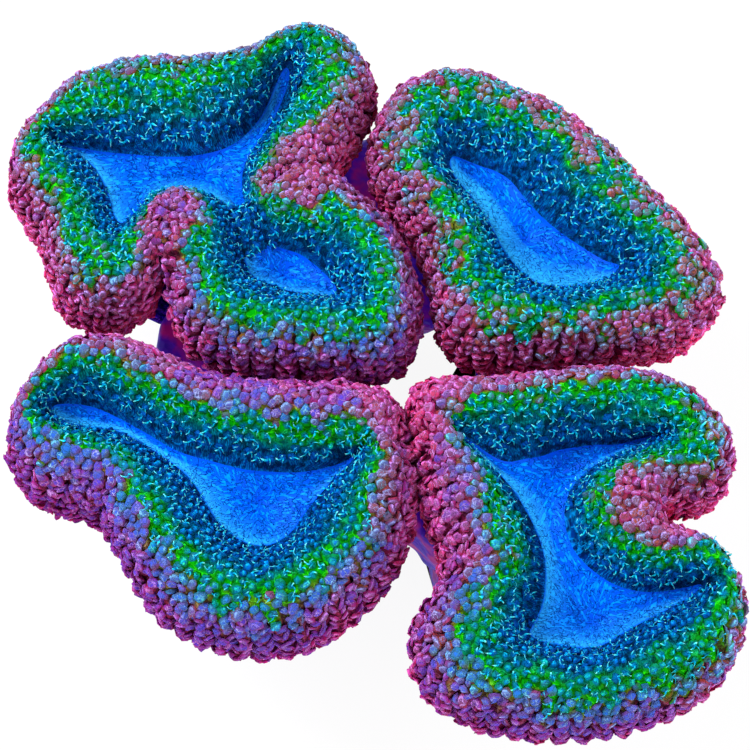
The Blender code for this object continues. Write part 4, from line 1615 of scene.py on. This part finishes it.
    def flesh(self, columns: Array) -> bpy.types.Object:
        """Model the flesh: a lofted rim and stalk, closed by the oral disc.

        Args:
            columns: The lobe's columns.

        Returns:
            The flesh, with its skin attributes.
        """
        rings = self.rings(columns)
        skin = lofted("flesh_" + self.key, rings)
        outward = columns[:, 2:4] - columns[:, :2]
        near = -outward[:, 1] / np.linalg.norm(outward, axis=1)
        give(skin.data, "row", np.repeat(np.arange(len(rings), dtype=float), len(columns)))
        give(skin.data, "near", np.tile(near, len(rings)))
        subdivided(skin, CAGE_LEVELS)
        self.raise_ribs(skin.data, rings)
        self.fill_disc(skin)
        return skin

    def raise_ribs(self, mesh: bpy.types.Mesh, rings: list[Array]) -> None:
        """Set the skin in under its papillae, and raise its ribs and soft lumps.

        Args:
            mesh: The subdivided skin.
            rings: The rings of its cage.
        """
        closed = [np.concatenate([ring, ring[:1]]) for ring in rings]
        steps = np.linalg.norm(np.diff(closed[RIB_RING], axis=0), axis=1)
        along = np.concatenate([[0.0], np.cumsum(steps)])
        points, marks = [], []
        for ring in closed:
            for part in range(RIB_MARKS):
                share = part / RIB_MARKS
                points.extend(ring[:-1] * (1 - share) + ring[1:] * share)
                marks.append(along[:-1] * (1 - share) + along[1:] * share)
        places, normals = vertex_places(mesh), vertex_normals(mesh)
        run = np.concatenate(marks)[nearest_of(tree_of(points), places)]
        row, length = read(mesh, "row"), along[-1]
        wander = RIB_WANDER * lumps(places, RIB_WANDER_SIZE)
        phase = math.pi * round(length / RIB_SPACING) * run / length + wander
        rib = np.abs(np.cos(phase)) ** RIB_ROUNDNESS - RIB_SINK
        rib_share = np.clip(1.2 + read(mesh, "near"), 0.3, 1.0) * np.interp(row, *RIB_ROWS)
        lump_share = np.interp(row, *LUMP_ROWS)
        move = (RIB_HEIGHT * rib * rib_share
                + LUMP_HEIGHT * lumps(places, LUMP_SIZE, self.seed) * lump_share
                - np.interp(row, *INSET_ROWS))
        set_vertex_places(mesh, places + normals * move[:, None])
        # The furrows keep papillae out, and the flesh finish paints them dark as painted shade
        furrow = np.clip(1 - FURROW_STEEPNESS * np.abs(np.cos(phase)), 0, 1)
        give(mesh, "furrow", rib_share * furrow)
        give(mesh, "striae", np.column_stack([run / STRIA_WIDTH, row * STRIAE_PER_ROW, run * 0]))

    def fill_disc(self, skin: bpy.types.Object) -> None:
        """Close the top of the flesh with its sunken, wrinkled disc.

        Args:
            skin: The flesh, open at the disc edge.
        """
        mesh = bmesh.new()
        mesh.from_mesh(skin.data)
        edge_loop = ordered_boundary(mesh)
        edge = np.array([vertex.co for vertex in edge_loop]) / MM
        plan = self.disc_grid(edge[:, :2])
        height, border, facing = self.disc_heights(plan, edge)
        count = len(edge)
        flat = np.vstack([edge[:, :2], plan])
        rim = [(index, (index + 1) % count) for index in range(count)]
        corners = delaunay_2d_cdt([tuple(point) for point in flat], rim, [], 0, 1e-6, False)[2]
        corners = np.array([triangle for triangle in corners if len(triangle) == 3])
        keep = inside_outline(flat[corners].mean(axis=1), edge[:, :2])
        inner = self.on_lobe(plan, height) * MM
        vertices = edge_loop + [mesh.verts.new(point) for point in inner]
        for triangle in corners[keep]:
            face = mesh.faces.new([vertices[index] for index in triangle])
            face.material_index = 1
            face.smooth = True
        bmesh.ops.recalc_face_normals(mesh, faces=mesh.faces[:])
        mesh.to_mesh(skin.data)
        mesh.free()
        skin.data.shade_smooth()
        skin.data.materials.append(FleshFinish("flesh_" + self.key).build())
        skin.data.materials.append(DiscFinish("oral_disc").build())
        self.mark_skin(skin.data, plan, border, facing)

    def disc_grid(self, edge: Array) -> Array:
        """Even points inside the disc edge.

        Args:
            edge: Flat outline of the disc.

        Returns:
            The points.
        """
        low, high = edge.min(axis=0), edge.max(axis=0)
        lines = []
        for row, y in enumerate(np.arange(low[1], high[1], DISC_GRAIN * math.sqrt(3) / 2)):
            x = np.arange(low[0] + (row % 2) * DISC_GRAIN / 2, high[0], DISC_GRAIN)
            lines.append(np.column_stack([x, np.full(len(x), y)]))
        points = np.concatenate(lines)
        points = points[inside_outline(points, edge)]
        tree = tree_of([(x, y, 0) for x, y in edge.tolist()])
        gaps = np.array([tree.find((x, y, 0))[2] for x, y in points.tolist()])
        return points[gaps > DISC_MARGIN]

    def disc_heights(self, plan: Array, edge: Array) -> tuple[Array, ...]:
        """Heights of the disc over its plane, and distances to its border.

        Args:
            plan: Flat points of the disc.
            edge: Places of the disc edge.

        Returns:
            The heights, the distances, and how much the closest border is a near or left one,
            which sets its painted highlight.
        """
        rise = edge[:, 2] - DISC_LEVEL - self.tilt * (edge[:, 1] - self.tilt_y)
        height, border, facing = (np.empty(len(plan)) for _ in range(3))
        for index, point in enumerate(plan):
            gaps = np.hypot(*(edge[:, :2] - point).T)
            near = 1 / gaps ** 3
            height[index] = np.sum(near * rise) / np.sum(near)
            border[index] = gaps.min()
            pull = ((edge[:, :2] - point) * near[:, None]).sum(axis=0)
            pull /= max(np.hypot(*pull), 1e-9)
            facing[index] = np.clip(HIGHLIGHT_LEAST + pull @ HIGHLIGHT_SIDE, 0, 1)
        height -= DISC_DEPTH * (1 - np.exp(-border / DISC_SHORE))
        for mouth in self.mouths:
            off = np.hypot(*(plan - mouth).T)
            height -= MOUTH_DEPTH * np.exp(-(off / MOUTH_RADIUS) ** 2)
        height += SILL_HEIGHT * np.sqrt(np.maximum(self.sill_share(plan), 0))
        seeded = at_height(plan, self.seed)
        uneven = (SWELL_HEIGHT * lumps(seeded, SWELL_SIZE)
                  + PUCKER_HEIGHT * lumps(seeded, PUCKER_SIZE))
        return height + (1 - np.exp(-border / SWELL_SHORE)) * uneven, border, facing

    def sill_share(self, plan: Array) -> Array:
        """How much of a sill between two discs each flat point lies on."""
        share = np.zeros(len(plan))
        for sill in self.sills:
            turn = math.radians(sill.angle)
            dx, dy = plan[:, 0] - sill.x, plan[:, 1] - sill.y
            run = (dx * math.cos(turn) + dy * math.sin(turn)) / sill.along
            side = (dy * math.cos(turn) - dx * math.sin(turn)) / sill.across
            share = np.maximum(share, 1 - np.hypot(run, side))
        return share

    def mark_skin(self, mesh: bpy.types.Mesh, plan: Array, border: Array,
                  facing: Array) -> None:
        """Store what the finishes read: rim row, wrinkle direction, the painted highlight of the
        disc edge, and mouth.

        Args:
            mesh: The finished flesh.
            plan: Flat places of the disc's vertices, which come last in the mesh.
            border: Distance of each disc vertex to the disc edge.
            facing: How much its closest edge is a near or a left one, which gets the painted
                highlight.
        """
        first = len(mesh.vertices) - len(plan)
        sill = self.sill_share(plan)
        row = np.concatenate([read(mesh, "row")[:first], np.where(sill > 0, 1.0 + 0.5 * sill, 0)])
        near = np.concatenate([read(mesh, "near")[:first], np.where(sill > 0, 0.25, 0)])
        striae = np.concatenate([read(mesh, "striae")[:first],
                                 np.column_stack([plan / (STRIA_WIDTH, 2), plan[:, 0] * 0])])
        for face in mesh.polygons:
            own = [sill[index - first] > 0 for index in face.vertices if index >= first]
            if face.material_index == 1 and own and all(own):
                face.material_index = 0
        band = self.band(row, vertex_places(mesh)) / BAND_SPAN
        for name, values in (("row", row), ("near", near), ("striae", striae), ("band", band)):
            give(mesh, name, values)
        reach = plan[:, None] - np.array(self.mouths)[None]
        gaps = np.hypot(reach[..., 0], reach[..., 1])
        own, closest = np.arange(len(plan)), gaps.argmin(axis=1)
        flow = reach[own, closest] / np.maximum(gaps[own, closest], 0.1)[:, None]
        turn = LAY_TURN * lumps(at_height(plan, 7.0), LAY_SIZE)
        angle = np.arctan2(flow[:, 1], flow[:, 0]) + turn
        lay = np.column_stack([np.abs(np.cos(angle - index * math.pi / 3)) ** 6
                               for index in range(3)])
        lay /= lay.sum(axis=1, keepdims=True)
        # Painted highlight along the near and left border
        edge = np.exp(-border / self.highlight_reach) * facing
        mouth = np.exp(-(gaps.min(axis=1) / MOUTH_SHADE) ** 2)
        for name, on_disc in (("lay", lay), ("edge", edge), ("mouth", mouth)):
            give(mesh, name, np.concatenate([np.zeros((first, *on_disc.shape[1:])), on_disc]))

    def papillae(self, flesh: bpy.types.Object) -> list[bpy.types.Object]:
        """Grow papillae on the flesh: blunt knobs, pointed peaks and hooked tips.

        Args:
            flesh: The finished flesh.

        Returns:
            The papillae as two pieces, those of the outer sides and those of the crest.
        """
        mesh = flesh.data
        places, normals = vertex_places(mesh), vertex_normals(mesh)
        row, near, furrow = (read(mesh, name) for name in ("row", "near", "furrow"))
        band = read(mesh, "band") * BAND_SPAN
        surface = BVHTree.FromPolygons(places.tolist(),
                                       [list(face.vertices) for face in mesh.polygons])
        tree = tree_of(places.tolist())
        spacing = self.grain * papilla_spacing(band, near)
        bare_rows = np.where(near < FAR_SIDE, BARE_DISC_FAR, BARE_DISC_NEAR)
        bare = (row < bare_rows) | (row > BARE_STALK_ROW)
        density = np.where(bare, 0.0, CANDIDATES / spacing ** 2)
        points, idents = scattered(mesh, places, density, self.seed)
        nearest = nearest_of(tree, points)
        level = furrow[nearest] < FURROW_GROWN
        points, nearest, idents = points[level], nearest[level], idents[level]
        chance = np.where(near[nearest] < NEAR_SIDE, np.interp(band[nearest], *HOOK_BANDS),
                          HOOK_CHANCE_NEAR)
        dice = Dice(self.seed + 2 * SEED_STEP, idents)
        hooked = (band[nearest] < HOOK_LAST_BAND) & (dice.random() < chance)
        order = np.argsort(~hooked, kind="stable")
        points, nearest, hooked, idents = (values[order] for values in
                                           (points, nearest, hooked, idents))
        own = spacing[nearest] * Dice(self.seed + 3 * SEED_STEP, idents).uniform(*SPACING_RANGE)
        own[hooked] = HOOK_SPACING
        kept = thinned(points, own)
        points = settled(points[kept], own[kept], surface, PUSH_PASSES)
        nearest = nearest_of(tree, points)
        grown = Growth(points, normals[nearest], row[nearest], band[nearest], near[nearest],
                       own[kept], hooked[kept], self.marked(points)[:, 3], self.mottle,
                       Dice(self.seed + 4 * SEED_STEP, idents[kept]))
        peak = PapillaShape(Papilla.PEAK, KNOB_CORNERS).build()
        bead = PapillaShape(Papilla.KNOB, KNOB_CORNERS).build()
        hooks = [PapillaShape(Papilla.HOOK, PRONG_CORNERS, prongs).build()
                 for prongs in HOOK_PRONGS]
        material = PapillaFinish("papillae_" + self.key).build()
        wall = (grown.band < WALL_BAND) & (near[nearest] < FAR_SIDE)
        pink = grown.band >= OUTER_BAND
        outer = grown.where(pink & ~grown.hooked & (furrow[nearest] < FURROW_KEPT))
        crest = grown.where(~pink & ~grown.hooked & ~wall)
        form = grown.dice.uniform(0, len(hooks)).astype(int)
        tips = [(hook, grown.where(grown.hooked & (form == number)))
                for number, hook in enumerate(hooks)]
        return [
            copies("papillae_outer_" + self.key, [(bead, outer)], material, self.seed),
            copies("papillae_crest_" + self.key, [(peak, crest), *tips], material, self.seed),
        ]


def papilla_spacing(band: Array, near: Array) -> Array:
    """Distance between papillae on each kind of skin.

    Args:
        band: Rows of the colour bands.
        near: From -1 on the far side to 1 on the near side.

    Returns:
        The spacings.
    """
    front = np.interp(band, SPACING_BANDS, SPACING_FRONT)
    back = np.interp(band, SPACING_BANDS, SPACING_BACK)
    share = np.clip(0.5 + near, 0, 1)
    return front * share + back * (1 - share)


class Growth:
    """Where each papilla of a lobe grows, which way it points and how big it is."""

    def __init__(self, points: Array, normals: Array, row: Array,
                 band: Array, near: Array, spacing: Array,
                 hooked: Array, warmth: Array, mottle: float, dice: Dice) -> None:
        """Settle the size, lean and tone of every papilla.

        Args:
            points: Where they grow.
            normals: Surface normals there.
            row: Rim rows there.
            band: Rows of the colour bands there.
            near: How much the rim faces the front there.
            spacing: Distance to the neighbours.
            hooked: Which of them are hooks.
            warmth: How warm their pink is.
            mottle: How many rows their colours stray.
            dice: Throws for each of them.
        """
        self.dice = dice
        self.band = band
        self.hooked = hooked
        green = (band > GREEN_BANDS[0]) & (band < GREEN_BANDS[1])
        broad = green & ~hooked & (dice.random() < BROAD_CHANCE)
        wide = spacing * np.interp(band, *RADIUS_BANDS)
        wide = wide * dice.uniform(*RADIUS_RANGE)
        wide = np.where(broad, wide * BROAD, wide)
        tall = np.interp(band, *HEIGHT_BANDS) * dice.uniform(*HEIGHT_RANGE)
        small = np.where((near > NEAR_SIDE) & (band < LOW_BAND), HOOK_LOW, 1.0)
        wide = np.where(hooked, small * dice.uniform(*HOOK_RADIUS_RANGE), wide)
        tall = np.where(hooked, small * dice.uniform(*HOOK_HEIGHT_RANGE), tall)
        # Those low on the near side lie over each other like scales
        lean = dice.normal(0, LEAN, 3)
        scaly = np.interp(row, *SCALE_ROWS) * np.clip(1.6 * near, 0, 1)
        lean[:, 2] -= DROOP * np.interp(row, *DROOP_ROWS) + SCALE_DROOP * scaly
        tall = np.where(hooked, tall, tall * (1 + SCALE_TALL * scaly))
        axis = unit(normals + lean)
        side = dice.normal(0, 1, 3)
        downhill = np.array((0.0, 0.0, -1.0))
        level = np.column_stack([-normals[:, 1], normals[:, 0], np.zeros(len(points))])
        side = np.where(hooked[:, None], downhill + HOOK_TURN * side,
                        side + SCALE_TURN * scaly[:, None] * level)
        side = unit(side - axis * np.sum(side * axis, axis=1, keepdims=True))
        across = np.cross(axis, side)
        long = wide * dice.uniform(*LENGTH_RANGE) * (1 + SCALE_LONG * scaly)
        wide = wide * (1 - SCALE_NARROW * scaly)
        self.table = {
            "place": points,
            "axes": np.stack([side * long[:, None], across * wide[:, None],
                              axis * tall[:, None]], axis=1),
            "band": np.clip(band + dice.normal(0, 0.15 + 0.2 * mottle), 0, BAND_SPAN),
            "tone": np.clip(dice.normal(0.4, 0.25), 0.0, 1.0),
            "warm": np.clip(0.5 + 0.5 * (warmth + dice.normal(0, 0.35)), 0, 1),
            "hooked": np.where(hooked, dice.uniform(0.75, 1.0), 0.0),
            "ident": dice.idents,
        }

    def where(self, chosen: Array) -> dict[str, Array]:
        """The table of the chosen papillae.

        Args:
            chosen: True for each one to take.

        Returns:
            Their places, axes, bands, tones, warmths, hooks and numbers.
        """
        return {key: values[chosen] for key, values in self.table.items()}


def unit(vectors: Array) -> Array:
    """Bring vectors to a length of 1."""
    return vectors / np.linalg.norm(vectors, axis=1, keepdims=True)


# ----------------------------------------------------------------------------------- stump


@dataclass
class Stump:
    """A block of tissue under the lobes: the stump, or a web that joins two stalks."""

    finish: StumpFinish
    name: str = "stump"
    outline: tuple = STUMP_OUTLINE
    levels: tuple = STUMP_RINGS
    pieces: list[bpy.types.Object] = field(default_factory=list)

    def build(self) -> None:
        """Model the block from its outline, ring by ring, and round it off."""
        curve = smooth_closed_curve(np.array(self.outline))
        plan = spaced_evenly(curve, ([0, 1],), STUMP_SPACING)
        centre = plan.mean(axis=0)
        skin = lofted(self.name, [at_height(centre + (plan - centre) * size, height)
                                  for height, size in self.levels])
        select_alone(skin)
        bpy.ops.object.mode_set(mode="EDIT")
        bpy.ops.mesh.select_all(action="DESELECT")
        bpy.ops.mesh.select_non_manifold()
        bpy.ops.mesh.edge_face_add()
        bpy.ops.mesh.quads_convert_to_tris(quad_method="BEAUTY", ngon_method="BEAUTY")
        bpy.ops.mesh.select_all(action="SELECT")
        bpy.ops.mesh.normals_make_consistent(inside=False)
        bpy.ops.object.mode_set(mode="OBJECT")
        creased(skin, 0.0, 0.6 * MM)
        subdivided(skin, CAGE_LEVELS)
        mesh = skin.data
        places, normals = vertex_places(mesh), vertex_normals(mesh)
        share = np.interp(places[:, 2], (0.8, 2.5), (0, 1))
        lump = STUMP_LUMP_HEIGHT * lumps(places, STUMP_LUMP_SIZE) * share
        places = places + normals * lump[:, None]
        set_vertex_places(mesh, places)
        give(mesh, "cut", np.where(places[:, 2] < 0.4, 1.0, 0.0))
        mesh.shade_smooth()
        select_alone(skin)
        bpy.ops.object.shade_smooth_by_angle(angle=math.radians(SHARP_STUMP))
        mesh.materials.append(self.finish.build())
        self.pieces.append(skin)

    def dress(self) -> None:
        """Tie the stump to the model."""
        for piece in self.pieces:
            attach(piece, BODY)
            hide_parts("trunk")


# ---------------------------------------------------------------------------------- studio


@dataclass
class Studio:
    """Pale floor, white surround, soft lights and the camera; lengths in metres."""

    target: tuple[float, float, float] = (0.0, 0.0, 0.044)
    elevation: float = 66.0
    distance: float = 0.52
    lens: float = 142.5
    floor_size: float = 6.0
    floor_level: float = -0.0003
    floor_paint: float = 0.9
    floor_glow: float = 0.92
    daylight: float = 0.44

    def build(self) -> None:
        """Lay the floor, light it and set the camera."""
        self.floor()
        self.surround()
        for name, place, size, power in LIGHTS:
            self.light(name, place, size, power)
        self.camera()

    def floor(self) -> None:
        """A wide white floor that takes a faint shadow."""
        nothing_selected()
        bpy.ops.mesh.primitive_plane_add(size=self.floor_size, location=(0, 0, 0))
        floor = bpy.context.object
        floor.name = "floor"
        for vertex in floor.data.vertices:
            vertex.co.z = self.floor_level
        nodes = Nodes("floor_white")
        nodes.finish((self.floor_paint, self.floor_paint, self.floor_paint, 1), 0.9, 0.0)
        glow = nodes.add("Emission")
        glow.inputs["Strength"].default_value = 1.0
        path = nodes.add("LightPath").outputs
        seen = nodes.math("MAXIMUM", path["Is Camera Ray"],
                          nodes.math("MAXIMUM", path["Is Glossy Ray"],
                                     path["Is Transmission Ray"]))
        blend = nodes.add("MixShader")
        for index, value in enumerate((nodes.product(seen, self.floor_glow),
                                       nodes.shader.outputs[0], glow.outputs[0])):
            nodes.feed(blend.inputs[index], value)
        nodes.feed(nodes.tree.nodes["Material Output"].inputs["Surface"], blend.outputs[0])
        floor.data.materials.append(nodes.material)

    def surround(self) -> None:
        """A white surround."""
        world = bpy.data.worlds.new("surround")
        bpy.context.scene.world = world
        world.use_nodes = True
        tree = world.node_tree
        soft = tree.nodes["Background"]
        soft.inputs["Color"].default_value = (1, 1, 1, 1)
        soft.inputs["Strength"].default_value = self.daylight
        white = tree.nodes.new("ShaderNodeBackground")
        white.inputs["Strength"].default_value = 1.0
        path = tree.nodes.new("ShaderNodeLightPath")
        blend = tree.nodes.new("ShaderNodeMixShader")
        tree.links.new(path.outputs["Is Camera Ray"], blend.inputs["Fac"])
        tree.links.new(soft.outputs[0], blend.inputs[1])
        tree.links.new(white.outputs[0], blend.inputs[2])
        tree.links.new(blend.outputs[0], tree.nodes["World Output"].inputs["Surface"])

    def light(self, name: str, place: tuple[float, float, float], size: float,
              power: float) -> None:
        """Hang a square area light that looks at the coral.

        Args:
            name: Name of the light.
            place: Where it hangs, in metres.
            size: Side of the light.
            power: Watts.
        """
        data = bpy.data.lights.new(name, "AREA")
        data.size = size
        data.energy = power
        lamp = bpy.data.objects.new(name, data)
        lamp.location = place
        away = Vector(place) - Vector(self.target)
        lamp.rotation_euler = away.to_track_quat("Z", "Y").to_euler()
        bpy.context.scene.collection.objects.link(lamp)

    def camera(self) -> None:
        """Stand the camera in front, high over the coral."""
        data = bpy.data.cameras.new("camera")
        data.lens = self.lens
        data.sensor_width = 36.0
        tilt = math.radians(self.elevation)
        back = Vector((0, -math.cos(tilt), math.sin(tilt)))
        camera = bpy.data.objects.new("camera", data)
        camera.location = Vector(self.target) + back * self.distance
        camera.rotation_euler = back.to_track_quat("Z", "Y").to_euler()
        bpy.context.scene.collection.objects.link(camera)
        bpy.context.scene.camera = camera
        bpy.context.scene.view_settings.view_transform = "Standard"


def main() -> None:
    """Build every sub-assembly in order and tie it to the model."""
    logging.basicConfig(level=logging.INFO, format="%(message)s")
    lobes = [
        PolypLobe("back_left", BACK_LEFT_STATIONS, BACK_LEFT_MARKS, tilt=-0.04, tilt_y=35.0,
                  foot=(-21.0, 23.0, 13.0), mouths=((-31.0, 41.0), (-16.0, 20.5)),
                  grain=0.9, mottle=0.4, highlight_reach=1.3, seed=11,
                  sills=(Sill(-23.0, 27.6, 4.8, 7.0, -65.0),),
                  folds=(Fold((-37.2, 27.5), (-37.6, 13.0), 4.0, 1.5),
                         Fold((-18.5, 35.4), (-4.5, 38.0), 4.0, 1.5))),
        PolypLobe("back_right", BACK_RIGHT_STATIONS, BACK_RIGHT_MARKS, tilt=-0.04, tilt_y=32.0,
                  foot=(28.0, 23.0, 11.0), mouths=((27.0, 27.5),),
                  grain=0.9, mottle=0.9, highlight_reach=4.5, seed=12),
        PolypLobe("front_left", FRONT_LEFT_STATIONS, FRONT_LEFT_MARKS, tilt=0.14, tilt_y=-22.0,
                  foot=(-20.0, -17.0, 12.0), mouths=((-20.0, -22.5),),
                  grain=1.0, mottle=0.4, highlight_reach=1.6, seed=13),
        PolypLobe("front_right", FRONT_RIGHT_STATIONS, FRONT_RIGHT_MARKS, tilt=0.12, tilt_y=-30.0,
                  foot=(26.0, -22.0, 12.5), mouths=((31.5, -17.5), (37.0, -44.0)),
                  grain=1.0, mottle=0.45, highlight_reach=1.8, seed=14,
                  folds=(Fold((43.8, -27.2), (50.2, -27.2), 2.8, 1.3),)),
    ]
    tissue = StumpFinish("stump_skin")
    webs = [Stump(tissue, name, outline, WEB_RINGS) for name, outline in (
        ("web_back", BACK_WEB), ("web_left", LEFT_WEB), ("web_front", FRONT_WEB))]
    for part in [*lobes, Stump(tissue), *webs]:
        part.build()
        part.dress()
        for piece in part.pieces:
            piece.data.calc_loop_triangles()
            LOG.info("%s: %d triangles", piece.name, len(piece.data.loop_triangles))
    Studio().build()


if __name__ == "__main__":
    main()
